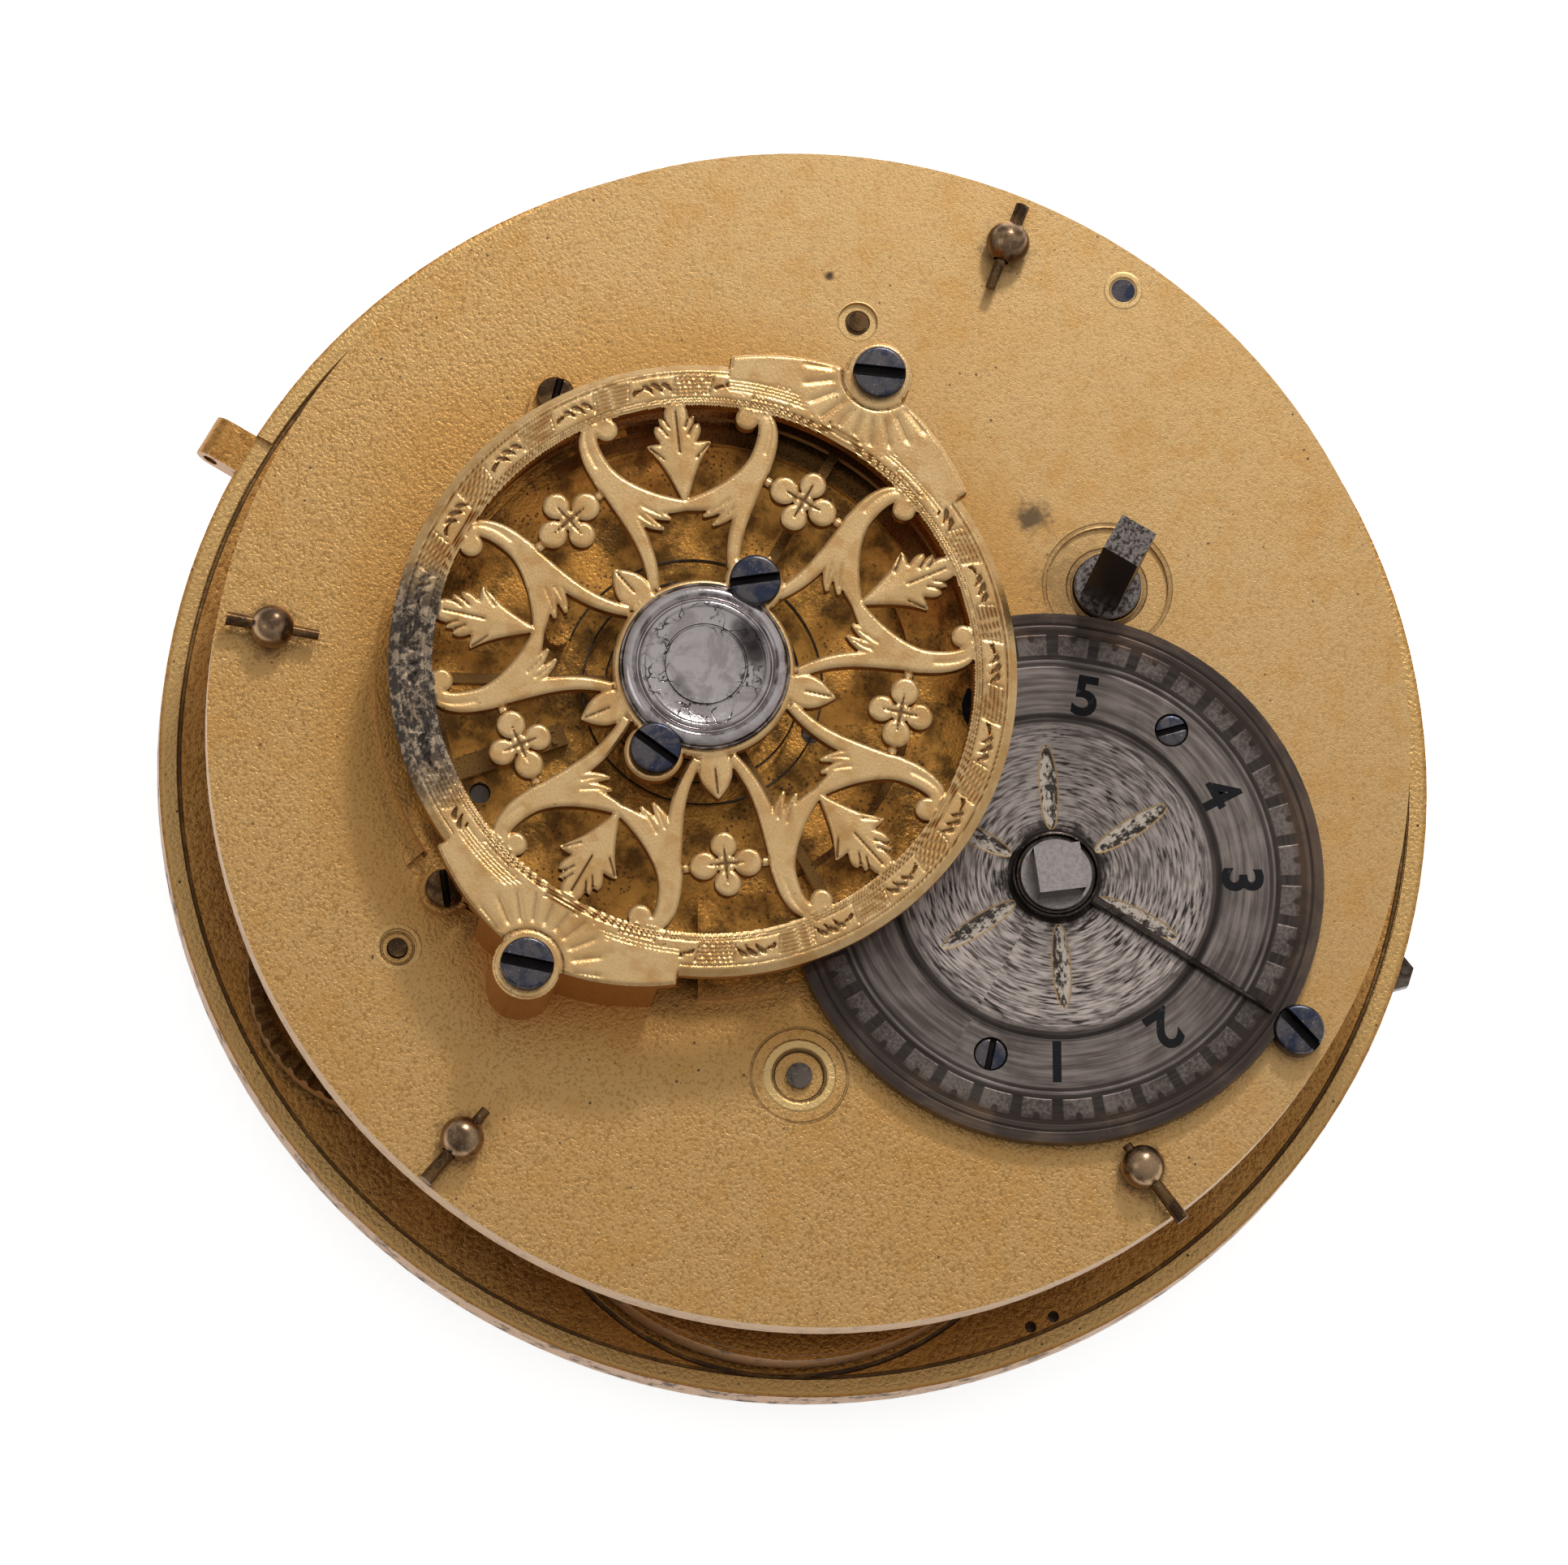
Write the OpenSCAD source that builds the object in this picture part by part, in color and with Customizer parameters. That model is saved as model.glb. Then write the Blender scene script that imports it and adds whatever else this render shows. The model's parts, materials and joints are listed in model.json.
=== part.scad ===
// Verge-fusee pocket watch movement: two plates on four pinned pillars, with the train, escapement,
// balance bridge, regulator, fusee, barrel, dial and hands between and outside them. Millimetres.
// The origin lies on the centre arbor, z = 0 is the seat of the pillar plate's rim, +Z points to the
// back of the watch and +Y to 12 on the dial.

/* [Plates and pillars] */
// Radius of the pillar plate
pillar_plate_r = 20; // [20:0.1:22]
// Thickness of the pillar plate inside its rim
pillar_plate_t = 1; // [0.9:0.05:1.4]
// Width of the rim of the pillar plate
rim_w = 0.55; // [0.3:0.05:0.6]
// Height of the rim above the floor of the pillar plate
rim_lip = 0.2; // [0.15:0.05:0.4]
// Radius of the top plate
top_plate_r = 18.73; // [18.5:0.01:19.5]
// Thickness of the top plate
top_plate_t = 1.05; // [0.8:0.05:1.4]
// Distance from the floor of the pillar plate to the top plate
plate_gap = 4; // [3.9:0.05:4.4]
// Radius of the circle on which the pillars stand
pillar_circle_r = 17; // [16.8:0.1:17.3]
// Directions of the pillars
pillar_a = [8.5, 110, 170.3, -113.5]; // [-180:0.1:180]
// How far each taper pin is pushed outwards through its pillar
pin_push = [-0.15, 0, 0.3, 0.6]; // [-0.2:0.05:0.7]
// Radius of a pillar's tenon in the plates
pillar_tenon_r = 0.6; // [0.4:0.05:0.65]
// Radius of a pillar's turned flange
pillar_flange_r = 1; // [0.9:0.05:1.2]
// Radius of a pillar's ball end
ball_r = 0.68; // [0.65:0.01:0.8]
// Length of a pillar's taper pin
taper_pin_l = 2.9; // [2:0.1:3.4]
// Radius of a taper pin's thick end
taper_pin_r = 0.22; // [0.15:0.01:0.26]

/* [Places of the arbors] */
// Distance from the centre arbor to the fusee and to the third arbor
train_r = 10.5; // [10.4:0.05:10.6]
// Direction of the fusee
fusee_a = -32.3; // [-34:0.1:-31]
// Direction of the third arbor
third_a = 131.5; // [131:0.1:132]
// Distance from the centre arbor to the barrel arbor
barrel_place_r = 10.86; // [10.8:0.01:11]
// Direction of the barrel arbor
barrel_a = -152.3; // [-154:0.1:-151]
// Distance from the centre arbor to the contrate arbor
contrate_place_r = 14.61; // [14.55:0.01:14.7]
// Direction of the contrate arbor
contrate_a = 148.7; // [148.4:0.1:149]
// Sideways place of the balance
balance_x = -0.7; // [-0.8:0.05:-0.6]
// Place of the balance towards 12
balance_y = 3.75; // [3.7:0.05:3.9]
// Sideways place of the regulator disc
regulator_x = -0.21; // [-0.4:0.01:0]
// Place of the regulator disc towards 12
regulator_y = -8.76; // [-8.9:0.01:-8.6]

/* [Teeth] */
// Teeth of the great wheel
great_teeth = 48; // [44:1:52]
// Leaves of the centre pinion
centre_leaves = 12; // [11:1:13]
// Teeth of the centre wheel
centre_teeth = 54; // [50:1:58]
// Teeth of the third wheel
third_teeth = 48; // [44:1:50]
// Leaves of the third, contrate and escape pinions
train_leaves = 6; // [6:1:7]
// Teeth of the contrate wheel
contrate_teeth = 48; // [44:1:50]
// Teeth of the escape wheel
escape_teeth = 13; // [11:2:15]
// Leaves of the cannon pinion and of the minute pinion
motion_leaves = 12; // [10:1:12]
// Teeth of the minute wheel
minute_teeth = 36; // [30:1:40]
// Teeth of the hour wheel
hour_teeth = 48; // [44:1:52]
// Distance from the cannon pinion to the minute wheel
motion_r = 4; // [3.6:0.1:4.4]
// Share of the pitch that a wheel tooth fills
tooth_share = 0.42; // [0.36:0.01:0.44]
// Share of the pitch that a pinion leaf fills
leaf_share = 0.36; // [0.3:0.01:0.4]
// Thickness of the train wheels
wheel_t = 0.3; // [0.25:0.01:0.32]

/* [Fusee and barrel] */
// Radius of the lowest chain turn on the fusee
fusee_base_r = 6.3; // [6:0.05:6.5]
// Radius of the highest chain turn on the fusee
fusee_top_r = 3.7; // [3.4:0.05:3.75]
// Height that the chain climbs on the fusee
fusee_climb = 1.7; // [1.65:0.05:1.85]
// Turns of chain on the fusee
chain_turns = 5; // [3:1:5]
// Thickness of the chain
chain_t = 0.2; // [0.15:0.01:0.22]
// Width across the flats of the winding square
winding_square = 1.2; // [1:0.05:1.3]
// Height of the winding square above the top plate
winding_square_h = 5.6; // [4:0.1:6]
// Radius of the fusee arbor's shoulder in the top plate
fusee_shoulder_r = 1.06; // [1.02:0.01:1.2]
// Outer radius of the barrel
barrel_r = 8.3; // [7.8:0.05:8.4]
// Height of the barrel
barrel_h = 1.5; // [1.4:0.05:1.9]
// Wall of the barrel
barrel_wall = 0.45; // [0.3:0.05:0.6]
// Thickness of the barrel's bottom and of its cover
barrel_floor = 0.2; // [0.15:0.01:0.25]
// Coils of the mainspring
mainspring_coils = 8; // [4:1:8]
// Thickness of the mainspring
mainspring_t = 0.2; // [0.1:0.01:0.22]

/* [Balance and bridge] */
// Outer radius of the balance
balance_r = 9.1; // [8.8:0.05:9.2]
// Width of the balance rim
balance_rim_w = 0.6; // [0.5:0.05:0.9]
// Width of the balance's arms
balance_arm_w = 0.32; // [0.25:0.01:0.6]
// Radius of the verge
verge_r = 0.25; // [0.2:0.01:0.28]
// Outer radius of the pierced bridge
bridge_r = 9.7; // [9.5:0.05:9.9]
// Width of the bridge's rim
bridge_rim_w = 1.35; // [1.1:0.05:1.45]
// Thickness of the bridge
bridge_t = 0.5; // [0.4:0.05:0.6]
// Height of the bridge's upper face above the top plate
bridge_h = 3; // [2.8:0.05:3.3]
// How far a bridge screw lies outside the balance
bridge_screw_out = 1.83; // [1.8:0.01:2]
// Radius of the steel end cap
cap_r = 2.65; // [2.5:0.01:2.7]
// Thickness of the steel end cap
cap_t = 0.45; // [0.35:0.01:0.55]
// Coils of the hairspring
hairspring_coils = 5; // [3:1:5]
// Outer radius of the hairspring
hairspring_r = 4.2; // [4.1:0.05:4.3]
// Thickness of the hairspring
hairspring_t = 0.08; // [0.05:0.01:0.12]

/* [Regulator] */
// Radius of the regulator disc
disc_r = 8.4; // [8.2:0.05:8.5]
// Thickness of the regulator disc
disc_t = 0.55; // [0.5:0.01:0.58]
// Teeth of the wheel under the regulator disc
regulator_teeth = 36; // [34:1:38]
// Teeth on a full circle of the regulator rack
rack_teeth = 92; // [90:1:94]
// Width across the flats of the regulator square
regulator_square = 1.45; // [1.2:0.05:1.5]
// Height of the regulator square above its disc
regulator_square_h = 1.3; // [1:0.05:1.5]
// Length of the pointer from the regulator's centre
pointer_l = 8; // [6:0.1:8.2]

/* [Dial and hands] */
// How far the dial's edge lies inside the edge of the pillar plate
dial_inset = 0.2; // [0.05:0.05:0.6]
// Thickness of the dial
dial_t = 0.6; // [0.5:0.05:0.8]
// Height of the dial's dome
dial_dome = 1.15; // [1.1:0.05:1.5]
// Length of the hour hand
hour_hand_l = 10; // [8:0.5:12]
// Length of the minute hand
minute_hand_l = 16; // [13:0.5:17.5]

/* [Case fittings] */
// Width of the case lug
lug_w = 1.3; // [1.1:0.05:1.6]
// How far the case lug stands out of the rim
lug_out = 1.4; // [1.2:0.05:1.8]
// Radius of the hinge pin hole in the case lug
lug_hole_r = 0.25; // [0.15:0.01:0.3]
// Direction of the latch bolt
latch_a = -77.5; // [-79:0.5:-76]
// Width of the latch bolt
latch_w = 1.2; // [0.9:0.05:1.5]
// How far the latch bolt stands out of the rim
latch_out = 0.45; // [0.3:0.05:0.6]

/* [Screws and clearances] */
// Radius of the screw shanks
shank_r = 0.4; // [0.3:0.01:0.42]
// Radius of the heads of the bridge and cap screws
head_r = 0.82; // [0.7:0.01:0.9]
// Height of the screw heads
head_h = 0.4; // [0.3:0.01:0.5]
// Radius of the heads of the small screws
small_head_r = 0.6; // [0.53:0.01:0.65]
// Radius of the heads of the disc screws
disc_head_r = 0.53; // [0.48:0.01:0.6]
// Radius of the head of the screw at the edge of the disc
edge_head_r = 0.78; // [0.7:0.01:0.85]
// Width of a screw's slot
slot_w = 0.18; // [0.1:0.01:0.22]
// Radial clearance of the arbors in their holes
shaft_gap = 0.03; // [0.015:0.005:0.04]
// Clearance between faces that move past each other
side_gap = 0.08; // [0.05:0.01:0.1]

/* [Hidden] */
$fn = 96;
eps = 0.01;
// Overshoot of a cutter past the face that it cuts
cut = 1;
gilt = "goldenrod";
pale_gilt = "khaki";
steel = "lightsteelblue";
blued = "midnightblue";
brass = "darkgoldenrod";

function polar(r, a) = [r * cos(a), r * sin(a)];
function mix(a, b, t) = a + (b - a) * t;
function heading(p, q) = atan2(q[1] - p[1], q[0] - p[0]);

// Heights of the plates
floor_z = -rim_lip;
plate_lo = floor_z - pillar_plate_t;
top_lo = floor_z + plate_gap;
top_hi = top_lo + top_plate_t;
rim_in_r = pillar_plate_r - rim_w;
bridge_hi = top_hi + bridge_h;
bridge_lo = bridge_hi - bridge_t;
bridge_screw_r = balance_r + bridge_screw_out;
dial_r = pillar_plate_r - dial_inset;

// Places of the arbors
centre_p = [0, 0];
fusee_p = polar(train_r, fusee_a);
third_p = polar(train_r, third_a);
barrel_p = polar(barrel_place_r, barrel_a);
contrate_p = polar(contrate_place_r, contrate_a);
balance_p = [balance_x, balance_y];
regulator_p = [regulator_x, regulator_y];
minute_a = 60;
minute_p = polar(motion_r, minute_a);
escape_a = heading(balance_p, contrate_p);
escape_l = norm(contrate_p - balance_p);
escape_z = floor_z + plate_gap / 2;

// Modules of the wheel pairs
great_m = 2 * train_r / (great_teeth + centre_leaves);
centre_m = 2 * train_r / (centre_teeth + train_leaves);
third_m = 2 * norm(contrate_p - third_p) / (third_teeth + train_leaves);
minute_m = 2 * motion_r / (motion_leaves + minute_teeth);
hour_m = 2 * motion_r / (motion_leaves + hour_teeth);
regulator_m = 2 * norm(regulator_p - balance_p) / (regulator_teeth + rack_teeth);

// Heights in the train, from the floor up
sink_z = floor_z - 0.55;
centre_wheel_z = sink_z + 0.15;
great_z = floor_z + side_gap;
great_hi = great_z + wheel_t;
third_wheel_z = floor_z + side_gap;
contrate_disc_z = third_wheel_z + wheel_t + 0.3;
crown_w = 0.4;
crown_gap = 0.26;
arbor_r = 0.45;
crown_room = min(norm(contrate_p - barrel_p) - barrel_r, norm(contrate_p - third_p) - arbor_r);
crown_r = crown_room - crown_gap - crown_w / 2;
escape_leaf_r = crown_r * train_leaves / contrate_teeth;
crown_m = 2 * crown_r / contrate_teeth;
crown_tip_z = escape_z - escape_leaf_r + crown_m;
crown_root_z = escape_z - escape_leaf_r - 1.3 * crown_m;
fusee_base_z = great_hi + 0.32;
chain_lo_z = fusee_base_z + 0.3;
fusee_hi = chain_lo_z + fusee_climb + 0.1;
barrel_z = great_hi + 0.2;
barrel_hi = barrel_z + barrel_h;

// Heights above the top plate
rack_z = top_hi + 0.03;
rack_t = 0.28;
disc_hi = top_hi + disc_t;
hairspring_z = top_hi + 0.4;
hairspring_w = 0.2;
balance_z = top_hi + 0.8;
balance_t = 0.35;
rack_pitch_r = rack_teeth * regulator_m / 2;
rack_out_r = rack_pitch_r - 0.3;
rack_in_r = rack_out_r - 0.8;
rack_sector_in_r = rack_out_r - 2.2;

// Radii of the arbors and their pivots
pivot_r = 0.3;
fusee_pivot_r = 0.35;
barrel_pivot_r = 0.4;
barrel_core_r = 1.5;
barrel_collar_r = 0.8;
fusee_collar_r = arbor_r + 0.3;
centre_seat_r = arbor_r + 0.1;
contrate_seat_r = arbor_r - 0.05;

// Phase of a gear that meshes with another: n and phase of the first, n of the second, and the
// direction from the first to the second
function mesh_phase(n, phase, other_n, a) =
  let (turn = (a - phase) * n / 360, part = turn - floor(turn))
  a + 180 + (part + 0.5) * 360 / other_n;

centre_pinion_phase = 0;
great_phase = mesh_phase(centre_leaves, centre_pinion_phase, great_teeth, fusee_a);
centre_wheel_phase = 0;
third_pinion_phase = mesh_phase(centre_teeth, centre_wheel_phase, train_leaves, third_a);
third_wheel_phase = 0;
contrate_pinion_phase =
  mesh_phase(third_teeth, third_wheel_phase, train_leaves, heading(third_p, contrate_p));
cannon_phase = 0;
minute_wheel_phase = mesh_phase(motion_leaves, cannon_phase, minute_teeth, minute_a);
minute_pinion_phase = 0;
hour_phase = mesh_phase(motion_leaves, minute_pinion_phase, hour_teeth, minute_a + 180);
regulator_phase = 0;
rack_phase = mesh_phase(regulator_teeth, regulator_phase, rack_teeth, heading(regulator_p, balance_p));

// Outline of a toothed wheel with radial flanks and rounded points
function gear_outline(n, m, share, addendum, dedendum, phase) =
  let (r = n * m / 2, half = share * 180 / n)
  [for (i = [0:n - 1], k = [[-dedendum, -1], [0, -1], [0.6 * addendum, -0.65], [addendum, -0.2],
                            [addendum, 0.2], [0.6 * addendum, 0.65], [0, 1], [-dedendum, 1]])
    polar(r + k[0] * m, phase + i * 360 / n + k[1] * half)];

module wheel_outline(n, m, phase) {
  polygon(gear_outline(n, m, tooth_share, 0.8, 1.1, phase));
}

module pinion_outline(n, m, phase) {
  polygon(gear_outline(n, m, leaf_share, 0.6, 1.15, phase));
}

// Arms and hub that are left when a wheel is crossed out
module arms_outline(r, hub_r, arm_w, count, phase) {
  circle(hub_r);
  for (i = [0:count - 1]) rotate(phase + i * 360 / count) translate([0, -arm_w / 2]) square([r, arm_w]);
}

module crossed_wheel(n, m, phase, rim, hub_r, arm_w, arms, bore_r, t) {
  rim_r = n * m / 2 - 1.1 * m - rim;
  linear_extrude(t) difference() {
    wheel_outline(n, m, phase);
    difference() {
      circle(rim_r);
      arms_outline(rim_r + eps, hub_r, arm_w, arms, 20);
    }
    circle(bore_r);
  }
}

module pinion(n, m, phase, t) {
  linear_extrude(t) pinion_outline(n, m, phase);
}

module rod(r, z0, z1) {
  translate([0, 0, z0]) cylinder(r = r, h = z1 - z0);
}

module square_rod(w, z0, z1) {
  translate([-w / 2, -w / 2, z0]) cube([w, w, z1 - z0]);
}

module place(p) {
  translate([p[0], p[1], 0]) children();
}

// Frame of the escape arbor: local z runs from the balance axis to the contrate arbor, local x down
module along_escape() {
  translate([balance_p[0], balance_p[1], escape_z]) rotate([0, 90, escape_a]) children();
}

// Frame beside the balance: local x runs towards the contrate arbor, z stays upright
module beside_balance() {
  place(balance_p) rotate(escape_a) children();
}

// One slotted screw: shank below z, head from z up
module screw(z, shank_l, r, h) {
  difference() {
    union() {
      rod(shank_r, z - shank_l, z + eps);
      rod(r, z, z + h);
    }
    translate([-r - cut, -slot_w / 2, z + h / 2]) cube([2 * r + 2 * cut, slot_w, h]);
  }
}

// Strip wound in the plane: points of its centre line, then its closed surface
function spiral_points(r0, r1, coils, steps, start) =
  [for (i = [0:coils * steps]) polar(mix(r0, r1, i / (coils * steps)), start + i * 360 / steps)];

function least_gap(points, steps, t) =
  min([for (i = [0:len(points) - 1], j = [i + steps / 2:len(points) - 1]) norm(points[i] - points[j])]) - t;

function strip_faces(rings) = concat(
  [[0, 1, 2], [0, 2, 3]],
  [for (i = [0:rings - 2], k = [0:3]) let (a = 4 * i + k, b = 4 * i + (k + 1) % 4) [a, a + 4, b]],
  [for (i = [0:rings - 2], k = [0:3]) let (a = 4 * i + k, b = 4 * i + (k + 1) % 4) [b, a + 4, b + 4]],
  [let (e = 4 * (rings - 1)) [e, e + 2, e + 1], let (e = 4 * (rings - 1)) [e, e + 3, e + 2]]);

// Corner points of a strip of radial thickness t and height w round the points of a flat or climbing spiral
function strip_corners(points, t, w) =
  [for (p = points, k = [[-1, -1], [1, -1], [1, 1], [-1, 1]])
    let (out = [p[0], p[1]] / norm([p[0], p[1]]), h = len(p) > 2 ? p[2] : 0)
    [p[0] + k[0] * out[0] * t / 2, p[1] + k[0] * out[1] * t / 2, h + k[1] * w / 2]];

module strip(points, t, w) {
  polyhedron(strip_corners(points, t, w), strip_faces(len(points)));
}

loop_steps = 24;
hairspring_in_r = 0.75;
hairspring_start = 100;
hairspring_pts =
  spiral_points(hairspring_in_r, hairspring_r, hairspring_coils, loop_steps, hairspring_start);
mainspring_in_r = barrel_core_r + mainspring_t / 2 + shaft_gap;
mainspring_out_r = barrel_r - barrel_wall - mainspring_t / 2 - 0.2;
mainspring_pts = spiral_points(mainspring_in_r, mainspring_out_r, mainspring_coils, loop_steps, 0);
chain_flat = spiral_points(fusee_base_r, fusee_top_r, chain_turns, loop_steps, 0);
chain_pts = [for (i = [0:len(chain_flat) - 1])
  [chain_flat[i][0], chain_flat[i][1], chain_lo_z + fusee_climb * i / (len(chain_flat) - 1)]];
echo(hairspring_gap = least_gap(hairspring_pts, loop_steps, hairspring_t));
echo(mainspring_gap = least_gap(mainspring_pts, loop_steps, mainspring_t));
echo(chain_gap = least_gap(chain_pts, loop_steps, chain_t));

// Places of the fasteners
bridge_screw_p = [for (s = [-1, 1]) balance_p + [s * bridge_screw_r, 0]];
cap_screw_r = cap_r + 0.45;
cap_screw_p = [for (s = [-1, 1]) balance_p + [s * cap_screw_r, 0]];
disc_screw_r = 6;
disc_screw_p = [for (a = [-8, 190]) regulator_p + polar(disc_screw_r, a)];
edge_screw_r = disc_r + 0.5;
edge_screw_a = -92;
edge_screw_p = regulator_p + polar(edge_screw_r, edge_screw_a);
slide_screw_r = balance_r + small_head_r + 0.5;
slide_screw_a = [55.5, 160];
slide_screw_p = [for (a = slide_screw_a) balance_p + polar(slide_screw_r, a)];
potence_back = -2.4;
potence_front = -1.2;
potence_w = 1.6;
potence_screw_d = (potence_back + potence_front) / 2;
counter_d = escape_l - crown_r + 1;
counter_t = 0.6;
counter_foot_l = 1.4;
counter_foot_side = -2.4;
counter_foot_t = 0.7;
counter_screw_d = counter_d + counter_foot_l / 2;
bracket_screw_p = [[potence_screw_d, 0], [counter_screw_d, counter_foot_side + 0.75]];
stop_stud_p = [17.5, -1.34];
stop_rivet_p = [12.28, 5.31];
stop_rivet_r = 0.31;
dial_foot_circle = 14.5;
dial_foot_p = [for (a = [40, 165, -100]) polar(dial_foot_circle, a)];
peg_hole_p = [[-11.65, -15.1], [-11, -15.55]];
peg_hole_r = 0.18;
dial_foot_r = 0.5;
latch_t = 0.42;
latch_in_r = 15;
latch_spring_t = 0.15;
latch_spring_room = 1.4;
latch_pocket_r = latch_in_r - latch_spring_room;

// Plates and pillars
module pillar_plate() {
  color(gilt) difference() {
    rod(pillar_plate_r, plate_lo, 0);
    rod(rim_in_r, floor_z, cut);
    rod(centre_teeth * centre_m / 2 + centre_m + 0.15, sink_z, cut);
    place(third_p) rod(train_leaves * centre_m / 2 + centre_m + 0.1, sink_z, cut);
    rod(centre_seat_r + shaft_gap, plate_lo - cut, cut);
    for (p = [third_p, contrate_p]) place(p) rod(pivot_r + shaft_gap, plate_lo - cut, cut);
    place(fusee_p) rod(fusee_pivot_r + shaft_gap, plate_lo - cut, cut);
    place(barrel_p) rod(barrel_pivot_r, plate_lo - cut, cut);
    place(minute_p) rod(pivot_r + shaft_gap, plate_lo - cut, sink_z - 0.1);
    for (a = pillar_a) place(polar(pillar_circle_r, a)) rod(pillar_tenon_r, plate_lo - cut, cut);
    for (p = dial_foot_p) place(p) rod(dial_foot_r, plate_lo - cut, cut);
    for (p = peg_hole_p) place(p) rod(peg_hole_r, plate_lo - cut, cut);
    rotate(latch_a) translate([latch_pocket_r, -latch_w / 2 - side_gap, plate_lo - cut])
      cube([pillar_plate_r, latch_w + 2 * side_gap, cut + latch_t + side_gap]);
    rotate(latch_a) translate([latch_pocket_r, -2 * latch_w, plate_lo - cut])
      cube([latch_in_r - latch_pocket_r, 4 * latch_w, cut + latch_t + side_gap]);
    translate([-lug_w / 2, rim_in_r - lug_w, plate_lo - cut])
      cube([lug_w, pillar_plate_r, pillar_plate_t + 2 * cut]);
  }
}

pillar_ball_z = top_hi + 0.72 * ball_r;

module pillar() {
  waist_r = 0.7 * pillar_flange_r;
  knob_r = 0.95 * pillar_flange_r;
  mid_z = (floor_z + top_lo) / 2;
  flange_h = 0.3;
  difference() {
    union() {
      rotate_extrude() polygon([
        [0, plate_lo], [pillar_tenon_r, plate_lo], [pillar_tenon_r, floor_z], [pillar_flange_r, floor_z],
        [pillar_flange_r, floor_z + flange_h], [waist_r, floor_z + 2 * flange_h],
        [waist_r, mid_z - 2 * flange_h], [knob_r, mid_z - flange_h], [knob_r, mid_z + flange_h],
        [waist_r, mid_z + 2 * flange_h],
        [waist_r, top_lo - 2 * flange_h], [pillar_flange_r, top_lo - flange_h], [pillar_flange_r, top_lo],
        [pillar_tenon_r, top_lo], [pillar_tenon_r, pillar_ball_z], [0, pillar_ball_z]]);
      intersection() {
        translate([0, 0, pillar_ball_z]) sphere(ball_r);
        rod(ball_r + cut, top_hi, top_hi + 3 * ball_r);
      }
    }
    translate([0, 0, pillar_ball_z]) rotate([0, 90, 0])
      cylinder(r = taper_pin_r + shaft_gap, h = 4 * ball_r, center = true);
  }
}

module pillars() {
  color(brass) for (a = pillar_a) rotate(a) translate([pillar_circle_r, 0, 0]) pillar();
}

module pillar_pins() {
  color(steel) for (i = [0:len(pillar_a) - 1]) rotate(pillar_a[i])
    translate([pillar_circle_r + pin_push[i] - taper_pin_l / 2, 0, pillar_ball_z])
      rotate([0, 90, 0]) cylinder(r1 = 0.7 * taper_pin_r, r2 = taper_pin_r, h = taper_pin_l);
}

module top_plate() {
  sink_d = 0.15;
  color(pale_gilt) difference() {
    rod(top_plate_r, top_lo, top_hi);
    for (a = pillar_a) place(polar(pillar_circle_r, a)) rod(pillar_tenon_r, top_lo - cut, top_hi + cut);
    place(fusee_p) rod(fusee_shoulder_r + shaft_gap, top_lo - cut, top_hi + cut);
    place(fusee_p) rod(1.8 * fusee_shoulder_r, top_hi - sink_d, top_hi + cut);
    place(barrel_p) rod(barrel_pivot_r, top_lo - cut, top_hi + cut);
    place(barrel_p) rod(2 * barrel_pivot_r, top_hi - sink_d, top_hi + cut);
    for (p = [centre_p, third_p, contrate_p]) place(p) rod(pivot_r + shaft_gap, top_lo - cut, top_hi + cut);
    place(contrate_p) rod(2 * pivot_r, top_hi - sink_d, top_hi + cut);
    place(balance_p) rod(3 * verge_r, top_lo - cut, top_hi + cut);
    place(regulator_p) rod(arbor_r + shaft_gap, top_lo - cut, top_hi + cut);
    for (p = concat(bridge_screw_p, disc_screw_p, slide_screw_p, [edge_screw_p]))
      place(p) rod(shank_r, top_lo - cut, top_hi + cut);
    beside_balance() for (p = bracket_screw_p) place(p) rod(shank_r, top_lo - cut, top_hi + cut);
    beside_balance() for (p = bracket_screw_p) place(p) rod(small_head_r, top_hi - head_h, top_hi + cut);
    place(stop_stud_p) rod(stop_stud_r, top_lo - cut, top_hi + cut);
    place(stop_rivet_p) rod(stop_rivet_r, top_lo - cut, top_hi + cut);
    place(stop_rivet_p) rod(2 * stop_rivet_r, top_hi - sink_d, top_hi + cut);
    place(hairspring_stud_p) rod(stud_r, top_lo - cut, top_hi + cut);
    for (p = cover_pin_p) place(p) rod(cover_pin_r, top_lo - cut, top_hi + cut);
  }
}

module case_lug() {
  lug_lo = plate_lo;
  lug_hi = floor_z;
  out_y = pillar_plate_r + lug_out;
  eye_r = (lug_hi - lug_lo) / 2;
  eye_y = out_y - eye_r;
  in_y = rim_in_r - lug_w;
  color(brass) difference() {
    union() {
      translate([-lug_w / 2, in_y, lug_lo]) cube([lug_w, eye_y - in_y, lug_hi - lug_lo]);
      translate([0, eye_y, lug_lo + eye_r]) rotate([0, 90, 0])
        cylinder(r = eye_r, h = lug_w, center = true);
    }
    translate([0, eye_y, lug_lo + eye_r]) rotate([0, 90, 0])
      cylinder(r = lug_hole_r, h = 2 * lug_w, center = true);
  }
}

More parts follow.
